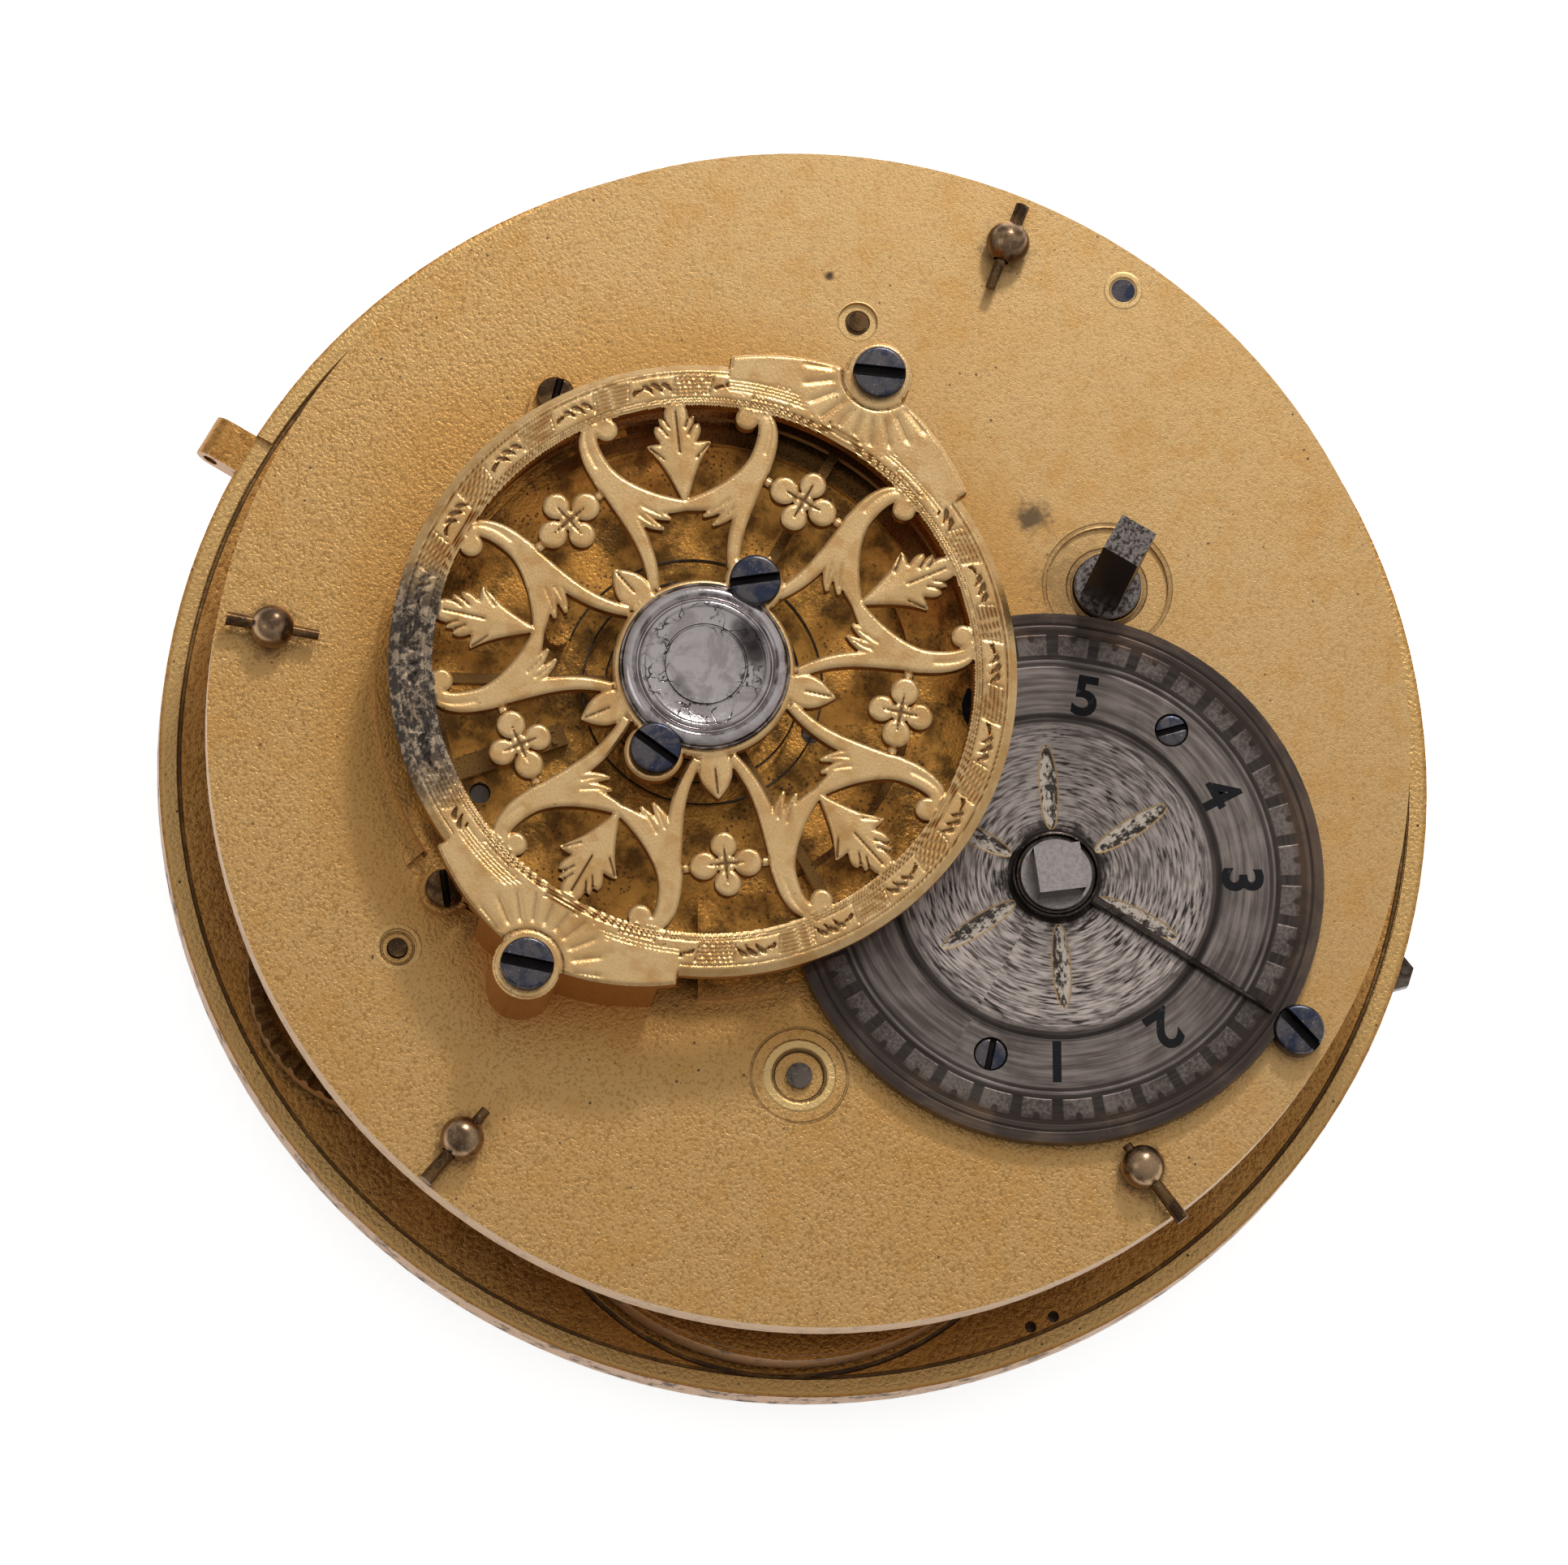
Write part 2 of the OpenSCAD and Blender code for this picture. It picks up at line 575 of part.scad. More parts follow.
// Pierced bridge: curve points, a tapering ribbon along a curve, and the units of the pattern
function curve_at(c, t) = pow(1 - t, 3) * c[0] + 3 * t * pow(1 - t, 2) * c[1]
  + 3 * t * t * (1 - t) * c[2] + pow(t, 3) * c[3];
function curve_way(c, t) = pow(1 - t, 2) * (c[1] - c[0]) + 2 * t * (1 - t) * (c[2] - c[1])
  + t * t * (c[3] - c[2]);
function curve_side(c, t) = let (d = curve_way(c, t)) [-d[1], d[0]] / norm(d);
ribbon_steps = 7;
function ribbon(c, w0, w1, swell) = concat(
  [for (i = [0:ribbon_steps]) let (t = i / ribbon_steps)
    curve_at(c, t) + curve_side(c, t) * (mix(w0, w1, t) + swell * sin(180 * t)) / 2],
  [for (i = [0:ribbon_steps]) let (t = 1 - i / ribbon_steps)
    curve_at(c, t) - curve_side(c, t) * (mix(w0, w1, t) + swell * sin(180 * t)) / 2]);

bridge_units = 5;
bridge_hub_r = cap_r + 0.3;
bridge_rim_in = bridge_r - bridge_rim_w;
flower_r = 6.2;

function curve_points(c) = [for (i = [0:ribbon_steps]) curve_at(c, i / ribbon_steps)];

// Leaf that is the same on both sides of the x axis, from the points of its half outline
module mirrored_leaf(half) {
  polygon(concat([for (p = half) [p[0], -p[1]]], [for (i = [len(half) - 1:-1:0]) half[i]]));
}

// Half of an arch: it thickens to a scroll that ends in a bulb under the rim, with a stem to the hub
// and two leaf tips on its inner side
module scroll_arm() {
  joint = [6.35, 2.45];
  bulb = [7.8, 2.2];
  polygon(ribbon([[5.2, -0.1], [5.25, 1.2], [5.6, 2], joint], 0.32, 0.75, 0.3));
  polygon(ribbon([joint + [-0.15, -0.1], [6.95, 2.85], [8.1, 3.1], bulb], 0.75, 0.34, 0.05));
  polygon(ribbon([[bridge_hub_r - 0.25, 1.25], [3.9, 1.2], [4.6, 1.6], [6, 2.3]], 0.34, 0.6, 0));
  polygon(ribbon([[5.8, 1.95], [5.35, 1.5], [5, 1], [4.8, 0.5]], 0.6, 0.1, 0.15));
  polygon(ribbon([[5.65, 1.95], [5.05, 1.6], [4.7, 1.2], [4.5, 0.75]], 0.5, 0.1, 0.15));
  translate(bulb) circle(0.36);
}

// Three-lobed leaf that stands in the arch with its point in the rim
module arch_leaf() {
  side_tip = [7.2, 1];
  notch = [7.3, 0.48];
  flank = curve_points([[5.2, 0.02], [6.2, 0.25], [6.6, 0.35], side_tip]);
  inner = curve_points([side_tip, [7.28, 0.75], [7.25, 0.6], notch]);
  point = curve_points([notch, [7.6, 0.62], [8, 0.42], [bridge_rim_in + 0.2, 0.12]]);
  steps = [1:ribbon_steps];
  mirrored_leaf(concat(flank, [for (i = steps) inner[i]], [for (i = steps) point[i]]));
}

module flower() {
  translate([flower_r, 0]) {
    circle(0.3);
    for (s = [-1, 1]) translate([s * 0.58, 0]) circle(0.45);
    for (s = [-1, 1]) translate([0, s * 0.7]) circle(0.48);
    square([0.28, 3.1], center = true);
  }
}

module bridge_unit() {
  arch_leaf();
  for (s = [0, 1]) mirror([0, s]) scroll_arm();
  rotate(180 / bridge_units) flower();
  rotate(180 / bridge_units)
    mirrored_leaf(curve_points([[bridge_hub_r - 0.3, 0.3], [3.2, 0.75], [3.7, 0.5], [4.15, 0.02]]));
}

// Ears that the rim widens to at the two screws, and the feet under them
foot_in_r = balance_r + 0.2;
foot_from = -11;
foot_to = 22;
ear_a = 25;
boss_r = 1.05;

function ear_r(a) = bridge_r + 0.3 + 0.7 * (1 - pow(abs(a) / ear_a, 1.5));

module ear_outline(in_r, from, to) {
  steps = 20;
  polygon(concat([for (i = [0:steps]) let (a = mix(from, to, i / steps)) polar(ear_r(a), a)],
                 [for (i = [steps:-1:0]) polar(in_r, mix(from, to, i / steps))]));
  translate([bridge_screw_r, 0]) circle(boss_r);
}

module bridge_outline() {
  difference() {
    circle(bridge_r);
    circle(bridge_rim_in);
  }
  for (s = [0, 180]) rotate(s) ear_outline(bridge_rim_in + 0.3, -ear_a, ear_a);
  circle(bridge_hub_r);
  for (s = [-1, 1]) translate([s * cap_screw_r, 0]) circle(head_r + 0.1);
  for (i = [0:bridge_units - 1]) rotate((i + 0.5) * 360 / bridge_units) bridge_unit();
}

module balance_bridge() {
  color(gilt) place(balance_p) difference() {
    union() {
      translate([0, 0, bridge_lo]) linear_extrude(bridge_t) bridge_outline();
      for (s = [0, 180]) rotate(s) translate([0, 0, top_hi]) linear_extrude(bridge_h - eps)
        ear_outline(foot_in_r, foot_from, foot_to);
    }
    for (s = [-1, 1]) translate([s * bridge_screw_r, 0, 0]) rod(shank_r, top_hi - cut, bridge_hi + cut);
    for (s = [-1, 1]) translate([s * cap_screw_r, 0, 0]) rod(shank_r, bridge_lo - cut, bridge_hi + cut);
    rod(verge_r + shaft_gap, bridge_lo - cut, bridge_hi + cut);
  }
}

module bridge_screws() {
  color(blued) for (p = bridge_screw_p) place(p) rotate(35)
    screw(bridge_hi, bridge_h + top_plate_t, head_r, head_h);
}

cap_seat_z = bridge_hi + 0.45 * cap_t;

module bridge_cap() {
  step_r = cap_r / 2;
  cap_hi = bridge_hi + cap_t;
  dish_z = bridge_hi + 0.8 * cap_t;
  color(steel) place(balance_p) difference() {
    rotate_extrude() polygon([
      [0, bridge_hi], [cap_r, bridge_hi], [cap_r, cap_seat_z], [0.92 * cap_r, cap_hi], [step_r, cap_hi],
      [step_r, dish_z], [0.3 * step_r, dish_z], [0, bridge_hi + 0.5 * cap_t]]);
    for (s = [-1, 1]) translate([s * cap_screw_r, 0, 0]) rod(shank_r, bridge_hi - cut, bridge_hi + cut);
    for (s = [-1, 1]) translate([s * cap_screw_r, 0, 0]) rod(head_r, cap_seat_z, bridge_hi + cut);
  }
}

module cap_screws() {
  color(blued) for (p = cap_screw_p) place(p) rotate(-20)
    screw(cap_seat_z, cap_seat_z - bridge_lo, head_r - shaft_gap, head_h);
}

// Regulator
disc_head_h = 0.25;
regulator_neck_r = 0.75 * regulator_square;

module regulator_disc() {
  under_z = top_hi + rack_t + 2 * side_gap;
  color("dimgray") difference() {
    place(regulator_p) rod(disc_r, top_hi, disc_hi);
    place(regulator_p)
      rod(regulator_teeth * regulator_m / 2 + regulator_m + side_gap, top_hi - cut, under_z);
    place(regulator_p) rod(regulator_neck_r + shaft_gap, top_hi - cut, disc_hi + cut);
    place(balance_p) rod(cover_out_r + side_gap, top_hi - cut, disc_hi + cut);
    for (p = disc_screw_p) place(p) rod(shank_r, top_hi - cut, disc_hi + cut);
    for (p = disc_screw_p) place(p) rod(disc_head_r, disc_hi - disc_head_h, disc_hi + cut);
    place(edge_screw_p) rod(edge_head_r + shaft_gap, top_hi - cut, disc_hi + cut);
  }
}

module disc_screws() {
  color(steel) for (p = disc_screw_p) place(p) rotate(50)
    screw(disc_hi - disc_head_h, disc_t - disc_head_h + top_plate_t, disc_head_r - eps, disc_head_h);
}

module edge_screw() {
  color(blued) place(edge_screw_p) rotate(20) screw(top_hi, top_plate_t, edge_head_r, head_h);
}

module arc_sector(ro, ri, a0, a1) {
  steps = 8;
  far = 1.2 * ro;
  intersection() {
    difference() {
      circle(ro);
      circle(ri);
    }
    polygon(concat([[0, 0]], [for (i = [0:steps]) polar(far, mix(a0, a1, i / steps))]));
  }
}

slide_from = 44;
slide_to = 167;
slide_out_r = slide_screw_r + 0.4;
slide_lip_t = 0.12;
slide_lip_z = rack_z + rack_t + side_gap / 2;
slide_hi = slide_lip_z + slide_lip_t;

module regulator_slide() {
  color(gilt) place(balance_p) difference() {
    union() {
      translate([0, 0, top_hi]) linear_extrude(slide_hi - top_hi) {
        arc_sector(slide_out_r, rack_out_r + side_gap, slide_from, slide_to);
        for (a = slide_screw_a) translate(polar(slide_screw_r, a)) circle(small_head_r + 0.15);
      }
      translate([0, 0, slide_lip_z]) linear_extrude(slide_lip_t)
        arc_sector(rack_out_r + 4 * side_gap, rack_in_r + 0.4, slide_from + 1, slide_to - 1);
    }
    for (a = slide_screw_a) translate(polar(slide_screw_r, a)) rod(shank_r, top_hi - cut, top_hi + cut);
  }
}

// Cover over the teeth of the rack, on two legs that are pinned in the top plate
cover_in_r = rack_sector_in_r + 0.25;
cover_out_r = rack_pitch_r + regulator_m + 1.5 * side_gap;
cover_leg_w = 0.5;
cover_leg_a = [-142.5, -37.5];
cover_leg_span = 7.5;
cover_pin_r = 0.18;
cover_pin_p = [for (a = cover_leg_a) balance_p + polar(cover_out_r + cover_leg_w / 2, a)];

module cover_legs() {
  for (a = cover_leg_a)
    arc_sector(cover_out_r + cover_leg_w, cover_out_r - eps, a - cover_leg_span, a + cover_leg_span);
}

module rack_cover() {
  color(gilt) union() {
    place(balance_p) translate([0, 0, slide_lip_z]) linear_extrude(slide_lip_t) {
      arc_sector(cover_out_r, cover_in_r, cover_leg_a[0] - cover_leg_span, cover_leg_a[1] + cover_leg_span);
      cover_legs();
    }
    place(balance_p) translate([0, 0, top_hi]) linear_extrude(slide_lip_z - top_hi + eps) cover_legs();
    for (p = cover_pin_p) place(p) rod(cover_pin_r, top_lo, top_hi + eps);
  }
}

module slide_screws() {
  color(blued) for (p = slide_screw_p) place(p) rotate(15)
    screw(slide_hi, slide_hi - top_lo, small_head_r, head_h);
}

module regulator_arbor() {
  color(steel) place(regulator_p) union() {
    rod(arbor_r, top_lo, rack_z + eps);
    translate([0, 0, rack_z]) linear_extrude(rack_t)
      wheel_outline(regulator_teeth, regulator_m, regulator_phase);
    rod(regulator_neck_r, rack_z, disc_hi + side_gap);
    square_rod(regulator_square, disc_hi, disc_hi + regulator_square_h);
  }
}

module regulator_pointer() {
  hub_r = 0.95 * regulator_square;
  color(steel) place(regulator_p) rotate(edge_screw_a) difference() {
    union() {
      rod(hub_r, disc_hi + side_gap, disc_hi + side_gap + 0.3);
      translate([0, 0, disc_hi + side_gap]) linear_extrude(0.15)
        polygon([[hub_r / 2, 0.32], [pointer_l, 0.04], [pointer_l, -0.04], [hub_r / 2, -0.32]]);
    }
    rotate(-edge_screw_a) square_rod(regulator_square, disc_hi, disc_hi + cut);
  }
}

rack_span = 33;
curb_a = 140;

module regulator_rack() {
  tooth_a = heading(balance_p, regulator_p);
  color(steel) place(balance_p) union() {
    translate([0, 0, rack_z]) linear_extrude(rack_t) {
      intersection() {
        difference() {
          wheel_outline(rack_teeth, regulator_m, rack_phase);
          circle(rack_sector_in_r);
        }
        polygon(concat([[0, 0]], [for (i = [-4:4]) polar(2 * rack_out_r, tooth_a + i * rack_span / 4)]));
      }
      arc_sector(rack_out_r, rack_in_r, tooth_a - 1, tooth_a + 150);
      arc_sector(rack_out_r, rack_in_r, tooth_a - 150, tooth_a + 1);
      rotate(curb_a) translate([hairspring_r + 0.15, -0.35]) square([rack_in_r - hairspring_r + 0.3, 0.7]);
    }
    for (s = [-1, 1]) rotate(curb_a) translate([hairspring_r + 0.55, s * 0.2, 0])
      rod(0.1, rack_z + eps, hairspring_z + hairspring_w);
  }
}

// Escapement and its brackets
escape_pivot_r = 0.12;
escape_arbor_r = 0.25;
verge_pivot_r = verge_r - 0.1;
potence_arm_z = floor_z + 0.15;
nose_side = 0.45;
nose_w = 0.35;
nose_h = 0.5;
crown_reach = 0.8;
escape_r = 1.6;
escape_wall = 0.3;
escape_disc_d = 1.5;

module potence() {
  arm_t = 0.35;
  arm_w = 1.1;
  color(brass) beside_balance() difference() {
    union() {
      translate([potence_back, -potence_w / 2, potence_arm_z])
        cube([potence_front - potence_back, potence_w, top_lo - potence_arm_z]);
      translate([potence_back, -arm_w / 2, potence_arm_z]) cube([0.45 - potence_back, arm_w, arm_t]);
      translate([potence_front - eps, nose_side, escape_z - nose_h / 2])
        cube([crown_reach + 0.3 - potence_front, nose_w, nose_h]);
      translate([crown_reach + 0.05, -0.3, escape_z - nose_h / 2])
        cube([0.25, nose_side + nose_w + 0.3, nose_h]);
    }
    rod(verge_pivot_r + shaft_gap, potence_arm_z - cut, potence_arm_z + cut);
    translate([0, 0, escape_z]) rotate([0, 90, 0]) cylinder(r = escape_pivot_r + shaft_gap, h = 2 * cut);
    place(bracket_screw_p[0]) rod(shank_r, top_lo - 1, top_lo + cut);
  }
}

module counter_potence() {
  color(brass) beside_balance() difference() {
    union() {
      translate([counter_d, -0.6, escape_z - 0.5]) cube([counter_t, 1.2, top_lo - escape_z + 0.5]);
      translate([counter_d, counter_foot_side, top_lo - counter_foot_t])
        cube([counter_foot_l, 0.7 - counter_foot_side, counter_foot_t]);
    }
    translate([counter_d - cut, 0, escape_z]) rotate([0, 90, 0])
      cylinder(r = escape_pivot_r + shaft_gap, h = 2 * cut + counter_t);
    place(bracket_screw_p[1]) rod(shank_r, top_lo - 1, top_lo + cut);
  }
}

module potence_screws() {
  color(blued) beside_balance() for (p = bracket_screw_p) place(p)
    screw(top_hi - head_h, top_plate_t - head_h + 0.6, small_head_r - eps, head_h);
}

module escape_arbor() {
  pinion_d = escape_l - crown_r;
  leaf_l = 1;
  leaf_m = 2 * escape_leaf_r / train_leaves;
  color(steel) along_escape() union() {
    rod(escape_pivot_r, crown_reach + 0.05, counter_d + counter_t);
    rod(escape_arbor_r, escape_disc_d - 0.2, counter_d - side_gap);
    translate([0, 0, pinion_d - leaf_l / 2]) pinion(train_leaves, leaf_m, 0, leaf_l);
  }
}

module escape_wheel() {
  tooth_h = 0.5;
  step_a = 360 / escape_teeth;
  pitch = 2 * escape_r * sin(step_a / 2);
  color(brass) along_escape() difference() {
    rod(escape_r, crown_reach, escape_disc_d + 0.25);
    rod(escape_r - escape_wall, crown_reach - cut, escape_disc_d);
    rod(escape_arbor_r, 0, 3 * escape_disc_d);
    for (i = [0:escape_teeth - 1]) rotate(i * step_a) translate([escape_r, 0, crown_reach])
      rotate([0, -90, 0]) linear_extrude(3 * escape_wall, center = true)
        polygon([[-cut, 0.08], [tooth_h, 0.08], [0, pitch], [-cut, pitch]]);
  }
}

pallet_reach = 0.55;
pallet_h = 0.4;
pallet_t = 0.14;
pallet_open = 50;
pallet_rise = 1.25;

module verge() {
  shoulder_z = potence_arm_z + 0.4;
  color(steel) beside_balance() union() {
    rod(verge_pivot_r, potence_arm_z, shoulder_z + eps);
    rod(verge_r, shoulder_z, bridge_lo + 0.3);
    for (s = [-1, 1]) rotate(s * pallet_open)
      translate([0, -pallet_t / 2, escape_z + s * pallet_rise - pallet_h / 2])
        cube([pallet_reach, pallet_t, pallet_h]);
  }
}

balance_hub_r = 1.1;

module balance_wheel() {
  color(pale_gilt) place(balance_p) translate([0, 0, balance_z]) linear_extrude(balance_t) difference() {
    union() {
      difference() {
        circle(balance_r);
        circle(balance_r - balance_rim_w);
      }
      arms_outline(balance_r - balance_rim_w / 2, balance_hub_r, balance_arm_w, 3, 120);
    }
    circle(verge_r);
  }
}

module hairspring_collet() {
  color(brass) place(balance_p) difference() {
    rod(hairspring_in_r - hairspring_t, hairspring_z - 0.1, balance_z);
    rod(verge_r, top_hi, balance_z + balance_t);
  }
}

module hairspring() {
  color(blued) place(balance_p) translate([0, 0, hairspring_z])
    strip(hairspring_pts, hairspring_t, hairspring_w);
}

stud_r = 0.35;
hairspring_stud_p = balance_p + polar(hairspring_r + hairspring_t / 2 + stud_r + 0.02, hairspring_start);

module hairspring_stud() {
  color(steel) place(hairspring_stud_p) rod(stud_r, top_lo, hairspring_z + hairspring_w);
}

// Barrel, mainspring and set-up work
module barrel_arbor() {
  color(steel) place(barrel_p) union() {
    rod(barrel_pivot_r, plate_lo - 0.4, top_hi + 0.05);
    rod(barrel_core_r, barrel_z + barrel_floor + side_gap, barrel_hi - barrel_floor - side_gap);
    rod(barrel_collar_r, floor_z, barrel_z - side_gap);
    rod(barrel_collar_r, barrel_hi + side_gap, top_lo);
  }
}

module barrel() {
  color(gilt) place(barrel_p) difference() {
    rod(barrel_r, barrel_z, barrel_hi - barrel_floor);
    rod(barrel_r - barrel_wall, barrel_z + barrel_floor, barrel_hi);
    rod(barrel_pivot_r + shaft_gap, barrel_z - cut, barrel_hi);
  }
}

module barrel_cover() {
  color(gilt) place(barrel_p) difference() {
    rod(barrel_r - 0.12, barrel_hi - barrel_floor, barrel_hi);
    rod(barrel_pivot_r + shaft_gap, barrel_z, barrel_hi + cut);
  }
}

module mainspring() {
  z = (barrel_z + barrel_hi) / 2;
  w = barrel_h - 2 * barrel_floor - 4 * side_gap;
  color("slategray") place(barrel_p) translate([0, 0, z]) strip(mainspring_pts, mainspring_t, w);
}

setup_teeth = 14;
setup_r = 1.9;
setup_hi = plate_lo - 0.04;
setup_t = 0.24;

function ratchet_outline(n, r, depth) =
  [for (i = [0:n - 1], k = [[0, 0], [-depth, 0.1]]) polar(r + k[0], (i + k[1]) * 360 / n)];

module setup_ratchet() {
  color(steel) place(barrel_p) translate([0, 0, setup_hi - setup_t]) linear_extrude(setup_t) difference() {
    polygon(ratchet_outline(setup_teeth, setup_r, 0.35));
    circle(barrel_pivot_r);
  }
}

module setup_click() {
  arm = [[-0.5, 0], [1, 1.2], [3, 0.9], [3.6, -0.4]];
  color(steel) place(barrel_p) rotate(-20) translate([setup_r + 0.6, 0, setup_hi - setup_t]) union() {
    linear_extrude(setup_t) polygon(ribbon(arm, 0.25, 0.5, 0.2));
    translate([3.5, -0.2, 0]) rod(0.6, 0, setup_t + 0.04);
  }
}

// Great wheel and fusee
module great_wheel() {
  color(brass) place(fusee_p) translate([0, 0, great_z]) linear_extrude(wheel_t) difference() {
    wheel_outline(great_teeth, great_m, great_phase);
    circle(fusee_collar_r + shaft_gap);
    translate(click_pivot) circle(click_pin_r + shaft_gap);
  }
}

ratchet_teeth = 24;
ratchet_r = 3;
ratchet_t = 0.22;
click_pivot = [ratchet_r + 0.9, 2.4];
click_pin_r = 0.2;
click_t = 0.22;
click_z = great_hi + 0.02;

module fusee_ratchet() {
  z = fusee_base_z - ratchet_t;
  color(steel) place(fusee_p) translate([0, 0, z]) linear_extrude(ratchet_t) difference() {
    polygon(ratchet_outline(ratchet_teeth, ratchet_r, 0.3));
    circle(fusee_collar_r);
  }
}

module fusee_click() {
  nose = [ratchet_r + 0.08, 0];
  pawl = [nose, nose + [0.5, 0.9], nose + [1.1, 1.5], click_pivot];
  color(steel) place(fusee_p) union() {
    translate([0, 0, click_z]) linear_extrude(click_t) polygon(ribbon(pawl, 0.12, 0.5, 0.2));
    place(click_pivot) rod(0.45, click_z, click_z + click_t);
    place(click_pivot) rod(click_pin_r, great_z, click_z + eps);
  }
}

module fusee() {
  drop = 0.34;
  slope = (fusee_base_r - fusee_top_r) / fusee_climb;
  flange_r = fusee_base_r + 0.35;
  flange_hi = chain_lo_z - 0.2;
  color(brass) place(fusee_p) union() {
    rod(fusee_pivot_r, plate_lo, great_z);
    rod(fusee_collar_r, great_z - side_gap / 2, fusee_base_z + eps);
    rotate_extrude() polygon([
      [0, fusee_base_z], [flange_r, fusee_base_z], [flange_r, flange_hi],
      [fusee_base_r - drop + (chain_lo_z - flange_hi) * slope, flange_hi],
      [fusee_top_r - drop, chain_lo_z + fusee_climb], [fusee_top_r - drop, fusee_hi], [0, fusee_hi]]);
    rod(fusee_shoulder_r, fusee_hi - eps, top_hi + 0.1);
    square_rod(winding_square, top_hi, top_hi + winding_square_h);
  }
}

module fusee_cap() {
  plate_r = 0.7 * fusee_top_r;
  beak_l = 1.2;
  beak_w = 0.8;
  color(steel) place(fusee_p) translate([0, 0, fusee_hi]) linear_extrude(0.3) difference() {
    union() {
      circle(plate_r);
      translate([0, -beak_w / 2]) square([plate_r + beak_l, beak_w]);
    }
    circle(fusee_shoulder_r);
  }
}

module chain_on_fusee() {
  color(steel) place(fusee_p) strip(chain_pts, chain_t, 0.9 * chain_t);
}

run_fusee_r = fusee_top_r + 0.45;
run_barrel_r = barrel_r + chain_t;

module chain_run() {
  way = heading(barrel_p, fusee_p);
  side = way - acos((run_barrel_r - run_fusee_r) / norm(fusee_p - barrel_p));
  from = barrel_p + polar(run_barrel_r, side);
  to = fusee_p + polar(run_fusee_r, side);
  z0 = barrel_z + barrel_h / 2;
  z1 = chain_lo_z + fusee_climb + 0.12;
  l = norm(to - from);
  color(steel) translate([from[0], from[1], z0]) rotate([0, -atan2(z1 - z0, l), heading(from, to)])
    translate([0, -chain_t / 2, -0.75 * chain_t]) cube([norm([l, z1 - z0]), chain_t, 1.5 * chain_t]);
}

// Stop work: a lever under the top plate that the last turn of chain lifts into the way of the beak
stop_stud_r = 0.37;
stop_a = heading(stop_stud_p, fusee_p);
stop_axis_d = 1.2;
stop_axis_z = top_lo - 0.75;
stop_arm_l = 4.2;
stop_arm_w = 0.7;
stop_pin_r = 0.15;
stop_block_h = 1.2;
stop_block_w = 1.8;

module stop_block() {
  color(blued) union() {
    place(stop_stud_p) rod(stop_stud_r, top_lo - eps, top_hi);
    place(stop_stud_p) rotate(stop_a) difference() {
      translate([-0.6, -stop_block_w / 2, top_lo - stop_block_h]) cube([2.4, stop_block_w, stop_block_h]);
      translate([stop_axis_d - 0.55, -stop_arm_w / 2 - side_gap, top_lo - stop_block_h - cut])
        cube([3, stop_arm_w + 2 * side_gap, cut + stop_block_h]);
      translate([stop_axis_d, 0, stop_axis_z]) rotate([90, 0, 0])
        cylinder(r = stop_pin_r + shaft_gap, h = 2 * stop_block_w, center = true);
    }
  }
}

module stop_lever() {
  arm_t = 0.3;
  color(steel) place(stop_stud_p) rotate(stop_a) translate([stop_axis_d, 0, stop_axis_z]) union() {
    rotate([90, 0, 0]) cylinder(r = stop_pin_r, h = stop_block_w - eps, center = true);
    rotate([90, 0, 0]) cylinder(r = stop_pin_r + 0.2, h = stop_arm_w, center = true);
    translate([0, -stop_arm_w / 2, -arm_t]) cube([stop_arm_l, stop_arm_w, arm_t]);
  }
}

// Blade under the top plate, from its rivet to the arm of the stop lever
module stop_spring() {
  blade_t = 0.12;
  blade_w = 0.5;
  tip_p = stop_stud_p + polar(stop_axis_d + 0.7 * stop_arm_l, stop_a);
  color(steel) place(stop_rivet_p) union() {
    rod(stop_rivet_r, top_lo - eps, top_hi);
    translate([0, 0, top_lo - blade_t]) cylinder(r = 2 * stop_rivet_r, h = blade_t);
    rotate(heading(stop_rivet_p, tip_p)) translate([0, -blade_w / 2, top_lo - blade_t])
      cube([norm(tip_p - stop_rivet_p), blade_w, blade_t]);
  }
}

// Train
module centre_arbor() {
  pinion_z = centre_wheel_z + wheel_t;
  color(steel) union() {
    rod(centre_seat_r, plate_lo, pinion_z + eps);
    translate([0, 0, pinion_z])
      pinion(centre_leaves, great_m, centre_pinion_phase, great_hi + side_gap - pinion_z);
    rod(arbor_r, pinion_z, top_lo - side_gap);
    rod(pivot_r, top_lo - 2 * side_gap, top_hi - 0.2);
    rod(cannon_bore_r, minute_hand_z - 0.2, plate_lo + eps);
  }
}

module centre_wheel() {
  color(brass) translate([0, 0, centre_wheel_z])
    crossed_wheel(centre_teeth, centre_m, centre_wheel_phase, 0.5, 1.6, 0.7, 4, centre_seat_r, wheel_t);
}

module third_arbor() {
  color(steel) place(third_p) union() {
    rod(pivot_r, plate_lo, top_hi - 0.2);
    translate([0, 0, sink_z + side_gap])
      pinion(train_leaves, centre_m, third_pinion_phase, third_wheel_z - sink_z - side_gap);
    rod(arbor_r, third_wheel_z - eps, top_lo - side_gap);
  }
}

module third_wheel() {
  color(brass) place(third_p) translate([0, 0, third_wheel_z])
    crossed_wheel(third_teeth, third_m, third_wheel_phase, 0.35, 1.1, 0.5, 4, arbor_r, wheel_t);
}

module contrate_arbor() {
  color(steel) place(contrate_p) union() {
    rod(pivot_r, plate_lo, top_hi);
    translate([0, 0, third_wheel_z - 0.03])
      pinion(train_leaves, third_m, contrate_pinion_phase, contrate_disc_z - third_wheel_z + 0.03);
    rod(contrate_seat_r, contrate_disc_z - eps, top_lo - side_gap);
  }
}

